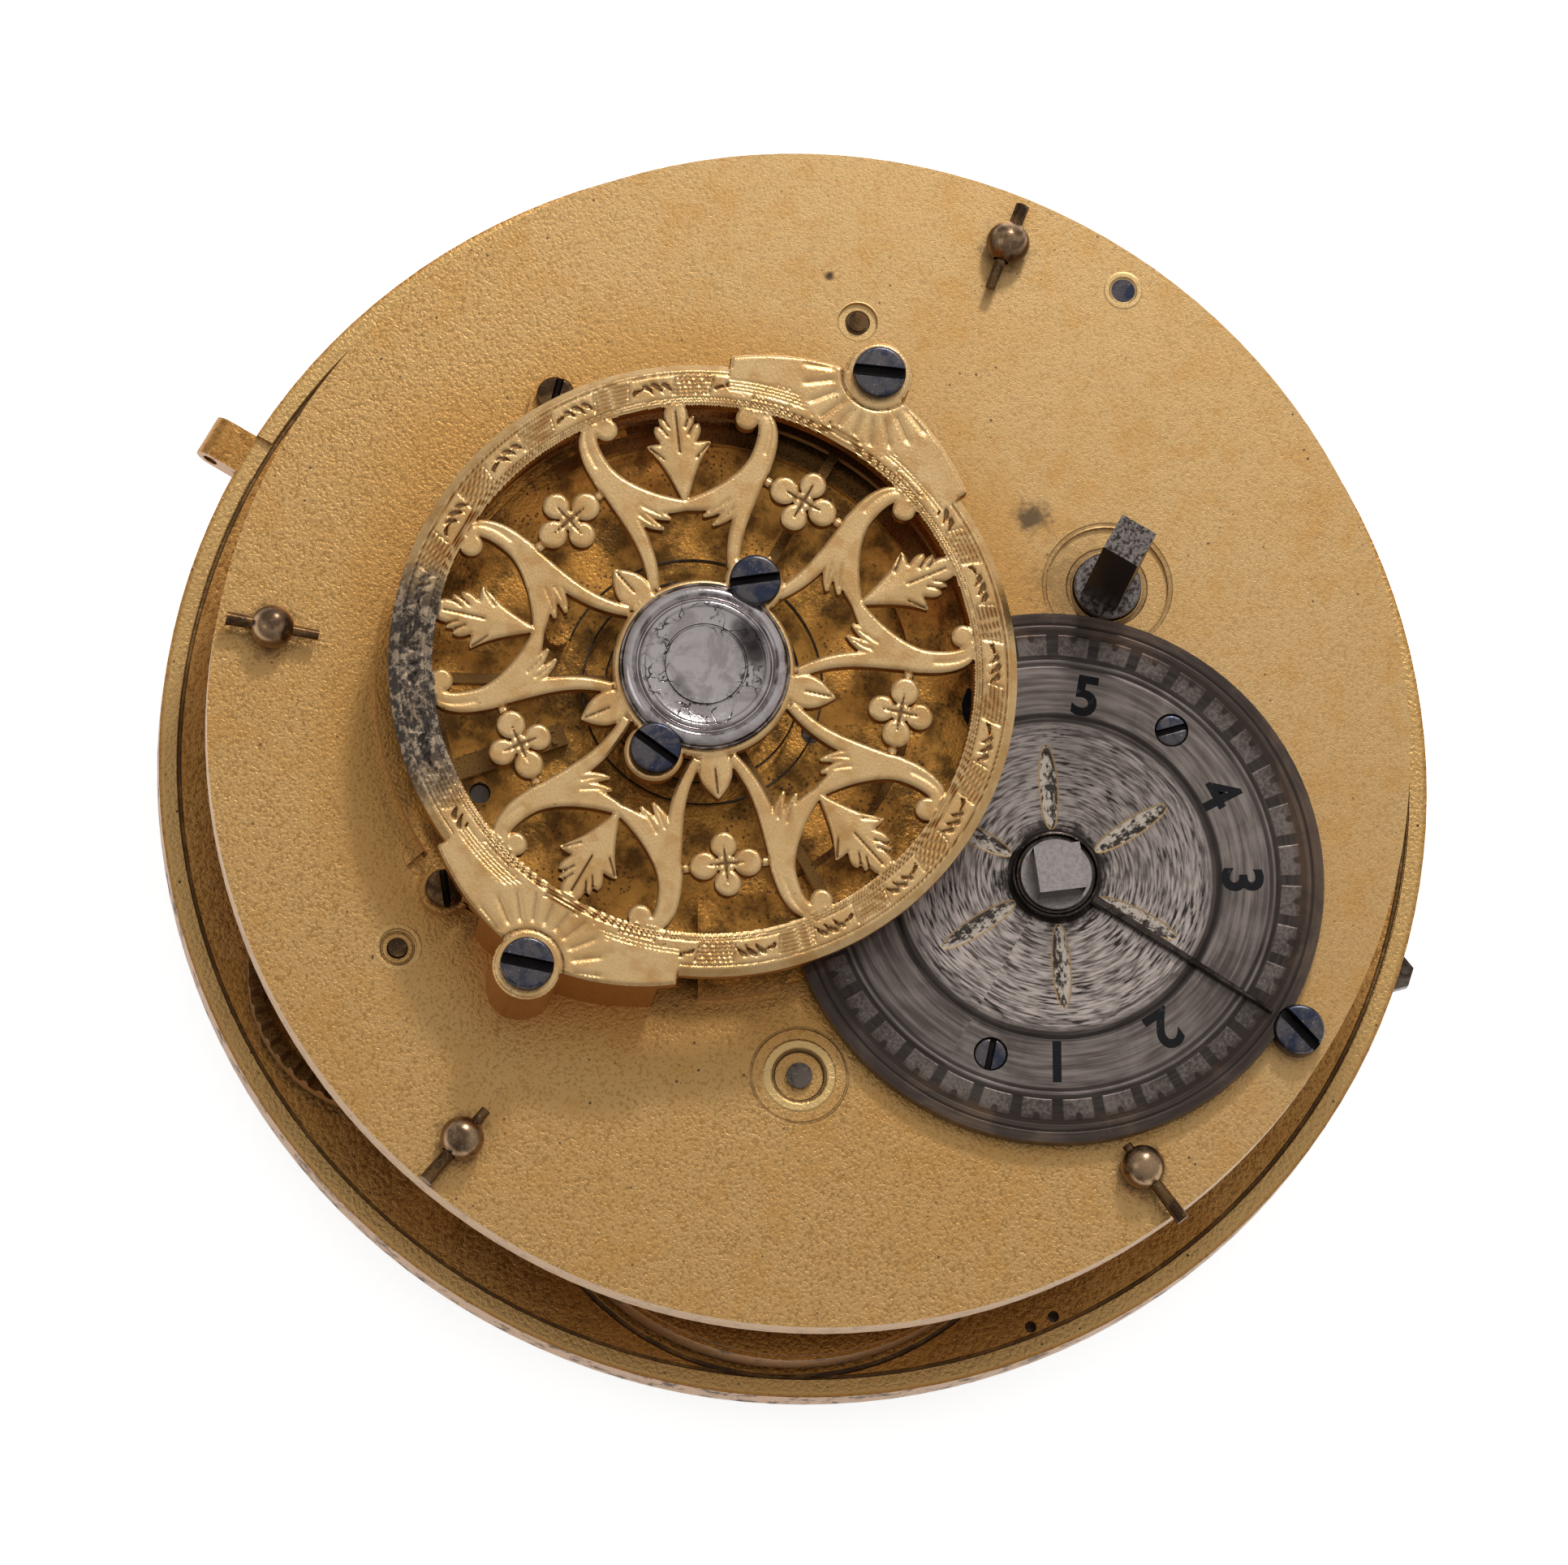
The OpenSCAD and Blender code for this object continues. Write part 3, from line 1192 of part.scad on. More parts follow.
module contrate_wheel() {
  web_t = 0.25;
  out_r = crown_r + crown_w / 2;
  in_r = crown_r - crown_w / 2;
  gap_root = (1 - tooth_share) * 0.7 * PI * crown_m;
  gap_top = (1 - 0.4 * tooth_share) * PI * crown_m;
  color(brass) place(contrate_p) difference() {
    union() {
      translate([0, 0, contrate_disc_z]) linear_extrude(web_t) difference() {
        circle(out_r);
        difference() {
          circle(in_r - 0.2);
          arms_outline(in_r, 1, 0.5, 4, 20);
        }
      }
      difference() {
        rod(out_r, contrate_disc_z, crown_tip_z);
        rod(in_r, contrate_disc_z - cut, crown_tip_z + cut);
      }
    }
    rod(contrate_seat_r, contrate_disc_z - cut, crown_tip_z + cut);
    for (i = [0:contrate_teeth - 1]) rotate(escape_a + 180 + i * 360 / contrate_teeth)
      translate([crown_r, 0, 0]) rotate([90, 0, 90]) linear_extrude(2 * crown_w, center = true)
        polygon([[-gap_root / 2, crown_root_z], [gap_root / 2, crown_root_z],
                 [gap_top / 2, crown_tip_z + eps], [-gap_top / 2, crown_tip_z + eps]]);
  }
}

// Motion work, dial and hands
motion_hi = plate_lo - 0.12;
motion_t = 0.25;
motion_step = 0.1;
hour_wheel_z = motion_hi - 2 * motion_t - motion_step;
dial_edge_z = plate_lo - 0.08;
dial_in_z = dial_edge_z - dial_dome;
dial_out_z = dial_in_z - dial_t;
hour_hand_z = dial_out_z - 0.3;
minute_hand_z = hour_hand_z - 0.4;
hand_t = 0.15;
cannon_bore_r = 0.4;
cannon_r = 0.62;
hour_pipe_r = 0.85;
dial_hole_r = 1;

module cannon_pinion() {
  color(steel) difference() {
    union() {
      translate([0, 0, motion_hi - motion_t]) pinion(motion_leaves, minute_m, cannon_phase, motion_t);
      rod(cannon_r, minute_hand_z - 0.1, motion_hi - motion_t + eps);
    }
    rod(cannon_bore_r, minute_hand_z - cut, plate_lo);
  }
}

module minute_wheel() {
  color(brass) place(minute_p) union() {
    translate([0, 0, motion_hi - motion_t]) linear_extrude(motion_t)
      wheel_outline(minute_teeth, minute_m, minute_wheel_phase);
    translate([0, 0, hour_wheel_z])
      pinion(motion_leaves, hour_m, minute_pinion_phase, motion_t + motion_step);
    rod(pivot_r, motion_hi - eps, sink_z - 0.15);
  }
}

module hour_wheel() {
  color(brass) difference() {
    union() {
      translate([0, 0, hour_wheel_z]) linear_extrude(motion_t)
        wheel_outline(hour_teeth, hour_m, hour_phase);
      rod(hour_pipe_r, hour_hand_z - hand_t, hour_wheel_z + eps);
    }
    rod(cannon_r + shaft_gap, minute_hand_z, plate_lo);
  }
}

dial_pin_r = 0.15;
dial_pin_z = floor_z + 0.22;

module dial() {
  steps = 10;
  color("ivory") difference() {
    union() {
      rotate_extrude() polygon(concat(
        [for (i = [0:steps]) let (u = i / steps) [dial_r * u, dial_in_z + dial_dome * u * u]],
        [for (i = [steps:-1:0]) let (u = i / steps) [dial_r * u, dial_out_z + dial_dome * u * u]]));
      for (p = dial_foot_p) place(p) rod(dial_foot_r, dial_in_z + dial_dome * 0.35, dial_pin_z + 0.23);
    }
    rod(dial_hole_r, dial_out_z - cut, plate_lo);
    for (p = dial_foot_p) place(p) translate([0, 0, dial_pin_z]) rotate([0, 90, heading(centre_p, p)])
      cylinder(r = dial_pin_r + eps, h = 4 * dial_foot_r, center = true);
  }
}

module dial_pins() {
  pin_l = 3.6 * dial_foot_r;
  color(brass) for (p = dial_foot_p) place(p) translate([0, 0, dial_pin_z])
    rotate([0, 90, heading(centre_p, p)]) translate([0, 0, -0.45 * pin_l])
      cylinder(r1 = 0.7 * dial_pin_r, r2 = dial_pin_r, h = pin_l);
}

// Hand with a ring on its boss, a tapering blade and a spear point
module hand(l, z, boss_r, bore_r) {
  root = (boss_r + bore_r) / 2;
  color(blued) translate([0, 0, z - hand_t]) linear_extrude(hand_t) difference() {
    union() {
      circle(boss_r);
      polygon([[0.35, root], [0.2, 0.7 * l], [0.5, 0.82 * l], [0, l], [-0.5, 0.82 * l], [-0.2, 0.7 * l],
               [-0.35, root]]);
    }
    circle(bore_r);
  }
}

module hour_hand() {
  rotate(-60) hand(hour_hand_l, hour_hand_z, hour_pipe_r + 0.6, hour_pipe_r);
}

module minute_hand() {
  rotate(60) hand(minute_hand_l, minute_hand_z, cannon_r + 0.7, cannon_r);
}

// Latch
module latch_bolt() {
  color(steel) rotate(latch_a) translate([0, 0, plate_lo]) linear_extrude(latch_t) polygon([
    [latch_in_r, -latch_w / 2], [pillar_plate_r, -latch_w / 2], [pillar_plate_r + latch_out, -latch_w / 4],
    [pillar_plate_r + latch_out, latch_w / 4], [pillar_plate_r, latch_w / 2], [latch_in_r, latch_w / 2]]);
}

module latch_spring() {
  gap = 0.02;
  back_r = latch_pocket_r + gap + latch_spring_t / 2;
  front_r = latch_in_r - gap - latch_spring_t / 2;
  blade = [[back_r, -1.9 * latch_w], [front_r, -latch_w], [front_r, latch_w], [back_r, 1.9 * latch_w]];
  color(steel) rotate(latch_a) translate([0, 0, plate_lo + gap]) linear_extrude(latch_t - 2 * gap)
    polygon(ribbon(blade, latch_spring_t, latch_spring_t, 0));
}

pillar_plate();
pillars();
pillar_pins();
top_plate();
case_lug();
balance_bridge();
bridge_screws();
bridge_cap();
cap_screws();
regulator_disc();
disc_screws();
edge_screw();
regulator_slide();
rack_cover();
slide_screws();
potence();
counter_potence();
potence_screws();
hairspring_stud();
hairspring();
barrel_arbor();
setup_ratchet();
setup_click();
stop_block();
stop_spring();
dial();
dial_pins();
latch_spring();
mainspring();
chain_run();
centre_arbor();
centre_wheel();
cannon_pinion();
minute_hand();
great_wheel();
fusee_click();
fusee();
fusee_ratchet();
fusee_cap();
chain_on_fusee();
barrel();
barrel_cover();
third_arbor();
third_wheel();
contrate_arbor();
contrate_wheel();
escape_arbor();
escape_wheel();
verge();
balance_wheel();
hairspring_collet();
regulator_arbor();
regulator_pointer();
regulator_rack();
latch_bolt();
stop_lever();
minute_wheel();
hour_wheel();
hour_hand();
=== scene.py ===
"""Looks of a verge-fusee pocket watch movement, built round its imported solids.

Every solid gets a procedural finish. The pierced bridge, its end cap, the screws, the regulator's
pointer, arbor and slide, the springs and the chain are replaced by finer meshes, and the dial and
the regulator disc get their numbers.
Lengths inside the classes are millimetres in the part's own frame.
"""

from __future__ import annotations

import json
import logging
import math
from dataclasses import dataclass, field
from enum import Enum
from functools import cached_property
from typing import Callable, Sequence

import bpy
import numpy as np
from mathutils import Matrix, Vector

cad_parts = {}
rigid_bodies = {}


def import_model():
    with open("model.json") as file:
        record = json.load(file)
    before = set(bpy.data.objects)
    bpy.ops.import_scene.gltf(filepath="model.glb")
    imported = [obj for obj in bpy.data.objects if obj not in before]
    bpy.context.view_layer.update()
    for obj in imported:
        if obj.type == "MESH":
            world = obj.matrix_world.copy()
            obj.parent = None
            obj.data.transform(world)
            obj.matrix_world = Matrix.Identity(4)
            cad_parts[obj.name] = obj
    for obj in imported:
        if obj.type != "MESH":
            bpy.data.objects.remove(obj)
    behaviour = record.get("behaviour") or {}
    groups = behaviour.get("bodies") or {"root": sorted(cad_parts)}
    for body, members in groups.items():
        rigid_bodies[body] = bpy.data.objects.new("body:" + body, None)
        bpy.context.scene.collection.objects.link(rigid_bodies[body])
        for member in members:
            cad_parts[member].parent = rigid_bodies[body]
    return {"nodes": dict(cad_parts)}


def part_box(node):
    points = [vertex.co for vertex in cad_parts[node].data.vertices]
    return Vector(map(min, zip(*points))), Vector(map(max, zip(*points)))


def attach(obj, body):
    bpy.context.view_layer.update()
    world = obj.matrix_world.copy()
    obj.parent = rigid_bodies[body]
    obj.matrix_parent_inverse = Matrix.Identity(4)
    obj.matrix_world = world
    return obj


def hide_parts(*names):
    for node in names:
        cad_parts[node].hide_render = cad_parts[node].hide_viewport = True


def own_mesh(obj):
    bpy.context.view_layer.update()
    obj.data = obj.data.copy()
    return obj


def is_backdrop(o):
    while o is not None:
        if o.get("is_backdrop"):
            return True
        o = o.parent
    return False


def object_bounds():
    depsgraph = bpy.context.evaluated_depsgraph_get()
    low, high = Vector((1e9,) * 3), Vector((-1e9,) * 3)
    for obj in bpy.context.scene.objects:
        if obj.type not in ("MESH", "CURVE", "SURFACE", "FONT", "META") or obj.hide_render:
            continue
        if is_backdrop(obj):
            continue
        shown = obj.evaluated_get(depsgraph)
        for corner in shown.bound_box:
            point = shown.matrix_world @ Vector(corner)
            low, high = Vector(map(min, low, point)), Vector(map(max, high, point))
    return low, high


LOG = logging.getLogger("movement")
MM = 0.001
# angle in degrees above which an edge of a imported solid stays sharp
SOLID_SHARP = 30
# a distance beyond any piece, and one too small to matter
FAR = 1e9
TINY = 1e-6
Colour = tuple[float, float, float, float]
Point = tuple[float, float]
Array = np.ndarray
Faces = list[Sequence[int]]
Mesh = tuple[Array, Faces]
Nodes = dict[str, bpy.types.Object]
Settings = dict[str, object]
Inputs = dict[int | str, object]
Material = bpy.types.Material

# centres of the work in the plan of the movement
BALANCE: Point = (-0.7, 3.75)
REGULATOR: Point = (-0.21, -8.76)
FUSEE: Point = (8.8753, -5.6107)
BARREL: Point = (-9.6153, -5.0482)
CONTRATE: Point = (-12.4838, 7.5903)
RIVET: Point = (12.28, 5.31)
STUD: Point = (17.5, -1.34)
# directions of the pillars in degrees and the radius of their circle
PILLARS = (8.5, 110.0, 170.3, -113.5)
PILLAR_R = 17


def ink(red: int, green: int, blue: int) -> Colour:
    """Linear colour of three screen values from 0 to 255."""
    parts = [c / 255 for c in (red, green, blue)]
    return (*[p / 12.92 if p <= 0.04045 else ((p + 0.055) / 1.055) ** 2.4 for p in parts], 1.0)


def smooth_step(low: float, high: float, value: Array) -> Array:
    """Smooth change from 0 at low to 1 at high."""
    t = np.clip((value - low) / (high - low), 0, 1)
    return t * t * (3 - 2 * t)


def polar(at: Point, radius: float, degrees: float) -> Point:
    """Place at a radius and a direction from a point of the plane."""
    a = math.radians(degrees)
    return at[0] + radius * math.cos(a), at[1] + radius * math.sin(a)


def added(name: str, data: bpy.types.ID) -> bpy.types.Object:
    """New object of the scene that holds the data."""
    made = bpy.data.objects.new(name, data)
    bpy.context.scene.collection.objects.link(made)
    return made


class Val:
    """Socket of a value, whose operators add Math nodes to its graph."""

    def __init__(self, graph: Graph, socket: bpy.types.NodeSocket) -> None:
        """Keeps the graph and the socket."""
        self.graph = graph
        self.socket = socket

    def __add__(self, other: Number) -> Val:
        """Sum."""
        return self.graph.math("ADD", self, other)

    def __radd__(self, other: Number) -> Val:
        """Sum, reflected."""
        return self.graph.math("ADD", other, self)

    def __sub__(self, other: Number) -> Val:
        """Difference."""
        return self.graph.math("SUBTRACT", self, other)

    def __rsub__(self, other: Number) -> Val:
        """Difference, reflected."""
        return self.graph.math("SUBTRACT", other, self)

    def __mul__(self, other: Number) -> Val:
        """Product."""
        return self.graph.math("MULTIPLY", self, other)

    def __rmul__(self, other: Number) -> Val:
        """Product, reflected."""
        return self.graph.math("MULTIPLY", other, self)

    def __truediv__(self, other: Number) -> Val:
        """Quotient."""
        return self.graph.math("DIVIDE", self, other)

    def __rtruediv__(self, other: Number) -> Val:
        """Quotient, reflected."""
        return self.graph.math("DIVIDE", other, self)

    def __abs__(self) -> Val:
        """Size without its sign."""
        return self.graph.math("ABSOLUTE", self)

    def __gt__(self, other: Number) -> Val:
        """1 where this is above the other value."""
        return self.graph.math("GREATER_THAN", self, other)

    def step(self, low: float, high: float) -> Val:
        """Smooth change from 0 at low to 1 at high."""
        return self.graph.value(
            "ShaderNodeMapRange", {"interpolation_type": "SMOOTHSTEP"},
            {"Value": self, "From Min": low, "From Max": high},
        )

    def top(self, other: Number) -> Val:
        """Larger of two values."""
        return self.graph.math("MAXIMUM", self, other)

    def least(self, other: Number) -> Val:
        """Smaller of two values."""
        return self.graph.math("MINIMUM", self, other)


Number = Val | float


@dataclass(frozen=True)
class Spot:
    """Round mark on a finish: its place, its radius, how soft its edge is and how strong it is."""

    x: float
    y: float
    radius: float
    soft: float = 0.3
    strength: float = 1.0

    @property
    def at(self) -> Point:
        """Its middle."""
        return self.x, self.y


@dataclass(frozen=True)
class Turned:
    """Turned line on a finish: the centre and radius of its circle, its width and its strength."""

    x: float
    y: float
    radius: float
    width: float = 0.06
    strength: float = 0.7

    @property
    def at(self) -> Point:
        """Centre of its circle."""
        return self.x, self.y


class Graph:
    """Node tree of one finish, with short ways to add its nodes."""

    def __init__(self, name: str, world: bpy.types.World | None = None) -> None:
        """Empties the node tree of a new material of that name, or of a world."""
        self.owner = world or bpy.data.materials.new(name)
        self.owner.use_nodes = True
        self.tree = self.owner.node_tree
        self.tree.nodes.clear()

    def node(self, kind: str, settings: Settings | None = None, inputs: Inputs | None = None) -> bpy.types.Node:
        """Adds a node.

        Args:
            kind: Type of the node.
            settings: Its own settings.
            inputs: Values or links of its sockets, by name or number.

        Returns:
            The node.
        """
        made = self.tree.nodes.new(kind)
        for key, setting in (settings or {}).items():
            setattr(made, key, setting)
        for key, given in (inputs or {}).items():
            self.feed(made.inputs[key], given)
        return made

    def feed(self, socket: bpy.types.NodeSocket, given: object) -> None:
        """Links a value to a socket, or sets the socket's own number or colour."""
        if isinstance(given, Val):
            self.tree.links.new(given.socket, socket)
        else:
            socket.default_value = given

    def value(
        self, kind: str, settings: Settings | None = None, inputs: Inputs | None = None, out: int | str = 0
    ) -> Val:
        """Adds a node and returns one of its outputs."""
        return Val(self, self.node(kind, settings, inputs).outputs[out])

    def math(self, operation: str, *terms: Number) -> Val:
        """Adds a Math node on one, two or three terms."""
        return self.value("ShaderNodeMath", {"operation": operation}, dict(enumerate(terms)))

    def mix(self, a: object, b: object, factor: Number) -> Val:
        """Colour between a and b."""
        return self.value("ShaderNodeMix", {"data_type": "RGBA"}, {0: factor, 6: a, 7: b}, 2)

    @cached_property
    def place(self) -> Val:
        """Place on the part in millimetres, as a vector."""
        coords = self.value("ShaderNodeTexCoord", out="Object")
        return self.value("ShaderNodeVectorMath", {"operation": "SCALE"}, {0: coords, "Scale": 1 / MM})

    @cached_property
    def xyz(self) -> tuple[Val, Val, Val]:
        """The three parts of the place."""
        return self.parts(self.place)

    def parts(self, vector: Val) -> tuple[Val, Val, Val]:
        """The three parts of a vector."""
        made = self.node("ShaderNodeSeparateXYZ", None, {0: vector})
        return tuple(Val(self, o) for o in made.outputs)

    def vector(self, x: Number, y: Number, z: Number) -> Val:
        """Vector of three parts."""
        return self.value("ShaderNodeCombineXYZ", None, {0: x, 1: y, 2: z})

    def noise(
        self, scale: float, detail: float = 2, rough: float = 0.55, bend: float = 0, place: Val | None = None
    ) -> Val:
        """Cloudy noise at the place or at another vector, with scale as clouds per unit of it."""
        inputs = {"Vector": place or self.place, "Scale": scale, "Detail": detail, "Roughness": rough}
        return self.value("ShaderNodeTexNoise", None, {**inputs, "Distortion": bend})

    def cells(self, scale: float, feature: str = "F1", place: Val | None = None) -> Val:
        """Distance in a field of cells, at the place or at another vector."""
        inputs = {"Vector": place or self.place, "Scale": scale}
        return self.value("ShaderNodeTexVoronoi", {"feature": feature}, inputs, "Distance")

    def away(self, at: Point) -> Val:
        """Distance from a point of the plane."""
        dx, dy = self.xyz[0] - at[0], self.xyz[1] - at[1]
        return self.math("SQRT", dx * dx + dy * dy)

    def bearing(self, at: Point) -> Val:
        """Direction from a point of the plane, in radians."""
        return self.math("ARCTAN2", self.xyz[1] - at[1], self.xyz[0] - at[0])

    def band(self, value: Val, middle: float, half: float, soft: float) -> Val:
        """1 where a value lies within half of the middle, with a soft edge."""
        return 1 - abs(value - middle).step(half, half + soft)

    def blot(self, reach: Val, mark: Spot) -> Val:
        """Strength of a round mark at a distance from its middle."""
        return (1 - reach.step(mark.radius, mark.radius + mark.soft)) * mark.strength

    def facing(self) -> Val:
        """How far the surface looks up: 1 on a level face and 0 on an upright one."""
        return self.parts(self.value("ShaderNodeNewGeometry", out="Normal"))[2]

    def cut(self) -> Val:
        """Depth of the carving that the mesh carries, from 0 to 1; on the bridge it also carries painted shade
        along the edges of the pierced pieces.
        """
        return self.value("ShaderNodeAttribute", {"attribute_name": "cut"}, out="Fac")

    def finish(
        self, colour: object, rough: Number, metal: Number = 1.0, height: Val | None = None,
        depth: float = 0.02, constants: Settings | None = None, coat: Number | None = None,
    ) -> Material:
        """Closes the graph with its shader.

        Args:
            colour: Base colour.
            rough: Roughness.
            metal: Metallic share.
            height: Relief from 0 to 1 for the bump.
            depth: Depth of that relief in millimetres.
            constants: Sockets that are the same all over the surface.
            coat: Weight of the clear coat.

        Returns:
            The material.
        """
        inputs: Inputs = {"Base Color": colour, "Roughness": rough, "Metallic": metal}
        inputs.update(constants or {})
        if coat is not None:
            inputs["Coat Weight"] = coat
        if height is not None:
            inputs["Normal"] = self.value(
                "ShaderNodeBump", None, {"Strength": 1.0, "Distance": depth * MM, "Height": height}
            )
        shader = self.value("ShaderNodeBsdfPrincipled", None, inputs)
        self.node("ShaderNodeOutputMaterial", None, {"Surface": shader})
        return self.owner


@dataclass(frozen=True)
class Gilding:
    """Mercury gilding on brass: stippled, with warm clouds, specks, stains and turned lines."""

    name: str
    light: Colour = ink(201, 166, 116)
    aged: Colour = ink(198, 157, 101)
    warm: Colour = ink(192, 142, 78)
    dirt: Colour = ink(52, 36, 22)
    wall: Colour = ink(206, 178, 148)
    rough: float = 0.4
    stipple: float = 10.0
    depth: float = 0.03
    warmth: float = 0.3
    specks: float = 0.8
    smooth_side: float = 0.0
    warm_spots: tuple[Spot, ...] = ()
    stains: tuple[Spot, ...] = ()
    lines: tuple[Turned, ...] = ()
    bright_rings: tuple[Turned, ...] = ()
    # pool under the bridge: partly deeper orange gilding, partly painted shade
    pool: Spot | None = None
    pool_tone: Colour = ink(226, 164, 80)
    ring_tone: Colour = ink(232, 200, 138)
    wall_dirt: float = 0.25

    def make(self) -> Material:
        """Builds the material."""
        g = Graph(self.name)
        x, y, _ = g.xyz
        facing = abs(g.facing())
        cloud = g.noise(0.16, 4, 0.6, 0.6)
        blotch = g.noise(0.9, 4, 0.65)
        fine = g.noise(self.stipple, 2, 0.5)
        grit = g.noise(self.stipple * 2.6, 2, 0.5)
        # stippled gold, worn smooth towards one side, with warmer clouds
        grain = 1 - (x * 0.6 - y * 0.25).step(-3.0, 7.0) * self.smooth_side
        warm = (cloud * 0.7 + blotch * 0.3).step(0.42, 0.68) * self.warmth
        # warm spots; on the top plate the one round the balance is painted shade and warm reflection from the
        # bridge
        for s in self.warm_spots:
            warm = warm.top(g.blot(g.away(s.at) + (cloud - 0.5) * 5 + (blotch - 0.5) * 1.2, s))
        colour = g.mix(g.mix(self.light, self.aged, grain), self.warm, warm)
        hollow = g.mix(self.warm, self.dirt, 0.35)
        colour = g.mix(colour, hollow, (0.5 - fine).step(0.0, 0.16) * (0.12 + grain * 0.58))
        colour = g.mix(colour, self.warm, blotch.step(0.5, 0.66) * 0.35)
        # pits and dust, a pool under the bridge of deeper orange gilding darkened in blotches as painted shade,
        # and stains
        pits = 1 - g.cells(1.9).step(0.06, 0.11)
        dark = pits * g.noise(0.4, 3).step(0.46, 0.6) * self.specks
        dust = (1 - g.cells(3.4).step(0.07, 0.12)) * g.noise(0.22, 3).step(0.5, 0.62)
        dark = dark.top(dust * self.specks * 0.8)
        if self.pool is not None:
            pool = g.blot(g.away(self.pool.at) + (blotch - 0.5) * 0.8, self.pool)
            colour = g.mix(colour, g.mix(self.pool_tone, self.dirt, blotch.step(0.4, 0.64) * 0.78), pool)
            dense = 1 - (g.cells(6.0) + (grit - 0.5) * 0.5).step(0.14, 0.36)
            dark = dark.top(dense * g.noise(0.8, 3).step(0.4, 0.58) * pool * 0.8)
        for s in self.stains:
            reach = g.away(s.at) + (g.noise(2.6, 4, 0.65) - 0.5) * s.radius * 2.4
            dark = dark.top((1 - reach.step(s.radius * 0.3, s.radius + s.soft)) * s.strength)
        # upright walls and turned rings
        relief = fine * 0.75 * grain + grit * 0.25
        upright = 1 - facing.step(0.25, 0.7)
        colour = g.mix(colour, self.wall, upright * 0.85)
        grimy = upright * g.noise(1.4, 4, 0.7).step(0.5, 0.66) * self.wall_dirt
        dark = dark.top(grimy)
        for t in self.bright_rings:
            ring = g.band(g.away(t.at), t.radius, t.width * 0.5, t.width * 0.5) * t.strength
            colour = g.mix(colour, self.ring_tone, ring)
            relief = relief + ring * 1.5
        for t in self.lines:
            ring = g.band(g.away(t.at), t.radius, t.width * 0.35, t.width * 0.65)
            ring = ring * (0.6 + blotch.step(0.35, 0.6) * 0.4) * t.strength
            dark = dark.top(ring)
            relief = relief - ring * 2
        colour = g.mix(colour, self.dirt, dark)
        rough = self.rough + (fine - 0.5) * 0.2 + dark * 0.25
        return g.finish(colour, rough, 1.0 - dark * 0.7, relief, self.depth)


@dataclass(frozen=True)
class Carving:
    """Bright gilding of the carved bridge, with grime and painted shade in its cuts and along the edges of its
    pieces, and a blackened patch of rim.
    """

    name: str
    light: Colour = ink(224, 186, 132)
    warm: Colour = ink(206, 160, 100)
    grime: Colour = ink(84, 54, 26)
    side: Colour = ink(180, 122, 58)
    soot: Colour = ink(50, 46, 46)
    silver: Colour = ink(168, 158, 146)
    soot_from: float = 96.0
    soot_to: float = 152.0
    soot_in_r: float = 8.15

    def make(self) -> Material:
        """Builds the material."""
        g = Graph(self.name)
        cut = g.cut()
        fine = g.noise(12, 3, 0.6)
        cloud = g.noise(0.5, 3, 0.6)
        sweep = g.noise(1.3, 2, 0.5, 0.4)
        colour = g.mix(self.light, self.warm, cloud.step(0.42, 0.7) * 0.6)
        colour = g.mix(colour, self.side, sweep.step(0.46, 0.66) * 0.38)
        colour = g.mix(colour, self.warm, (0.5 - fine).step(0, 0.2) * 0.3)
        colour = g.mix(colour, self.side, 1 - g.facing().step(0.05, 0.5))
        # grime and painted shade in the cuts and along the edges of the pierced pieces, and grime in small pits
        colour = g.mix(colour, self.grime, cut.step(0.25, 0.95) * 0.85)
        pits = (1 - g.cells(2.6).step(0.05, 0.1)) * g.noise(0.7, 2).step(0.5, 0.6)
        colour = g.mix(colour, self.grime, pits * 0.7)
        # soot on a stretch of the rim, worn through to silver
        out = g.away(BALANCE)
        bearing = g.bearing(BALANCE) * (180 / math.pi)
        middle, half = (self.soot_from + self.soot_to) / 2, (self.soot_to - self.soot_from) / 2
        patchy = g.noise(1.5, 5, 0.75)
        zone = 1 - abs(bearing - middle).step(half * 0.45, half + 9)
        zone = zone * out.step(self.soot_in_r, self.soot_in_r + 0.25)
        soot = (zone * 0.72 + patchy * 0.62 - 0.62).step(0.0, 0.16) * zone
        worn = g.noise(3.4, 4, 0.7).step(0.47, 0.6)
        colour = g.mix(colour, g.mix(self.soot, self.silver, worn * 0.6), soot * (0.95 - worn * 0.25))
        rough = 0.3 + (fine - 0.5) * 0.2 + cut * 0.15 + soot * 0.2
        return g.finish(colour, rough, 1.0 - soot * 0.4, fine + patchy * soot * 1.5, 0.01)


class Temper(Enum):
    """How far a steel piece was let down by heat, or how it was left: its tone and that of its patches."""

    BLUE = (ink(94, 89, 90), ink(56, 60, 76))
    BRIGHT = (ink(190, 181, 180), ink(164, 154, 152))
    DARK = (ink(104, 94, 86), ink(62, 52, 44))
    BRONZE = (ink(166, 136, 104), ink(104, 82, 62))
    BROWN = (ink(112, 84, 54), ink(66, 48, 34))
    BLACK = (ink(74, 66, 61), ink(46, 40, 36))


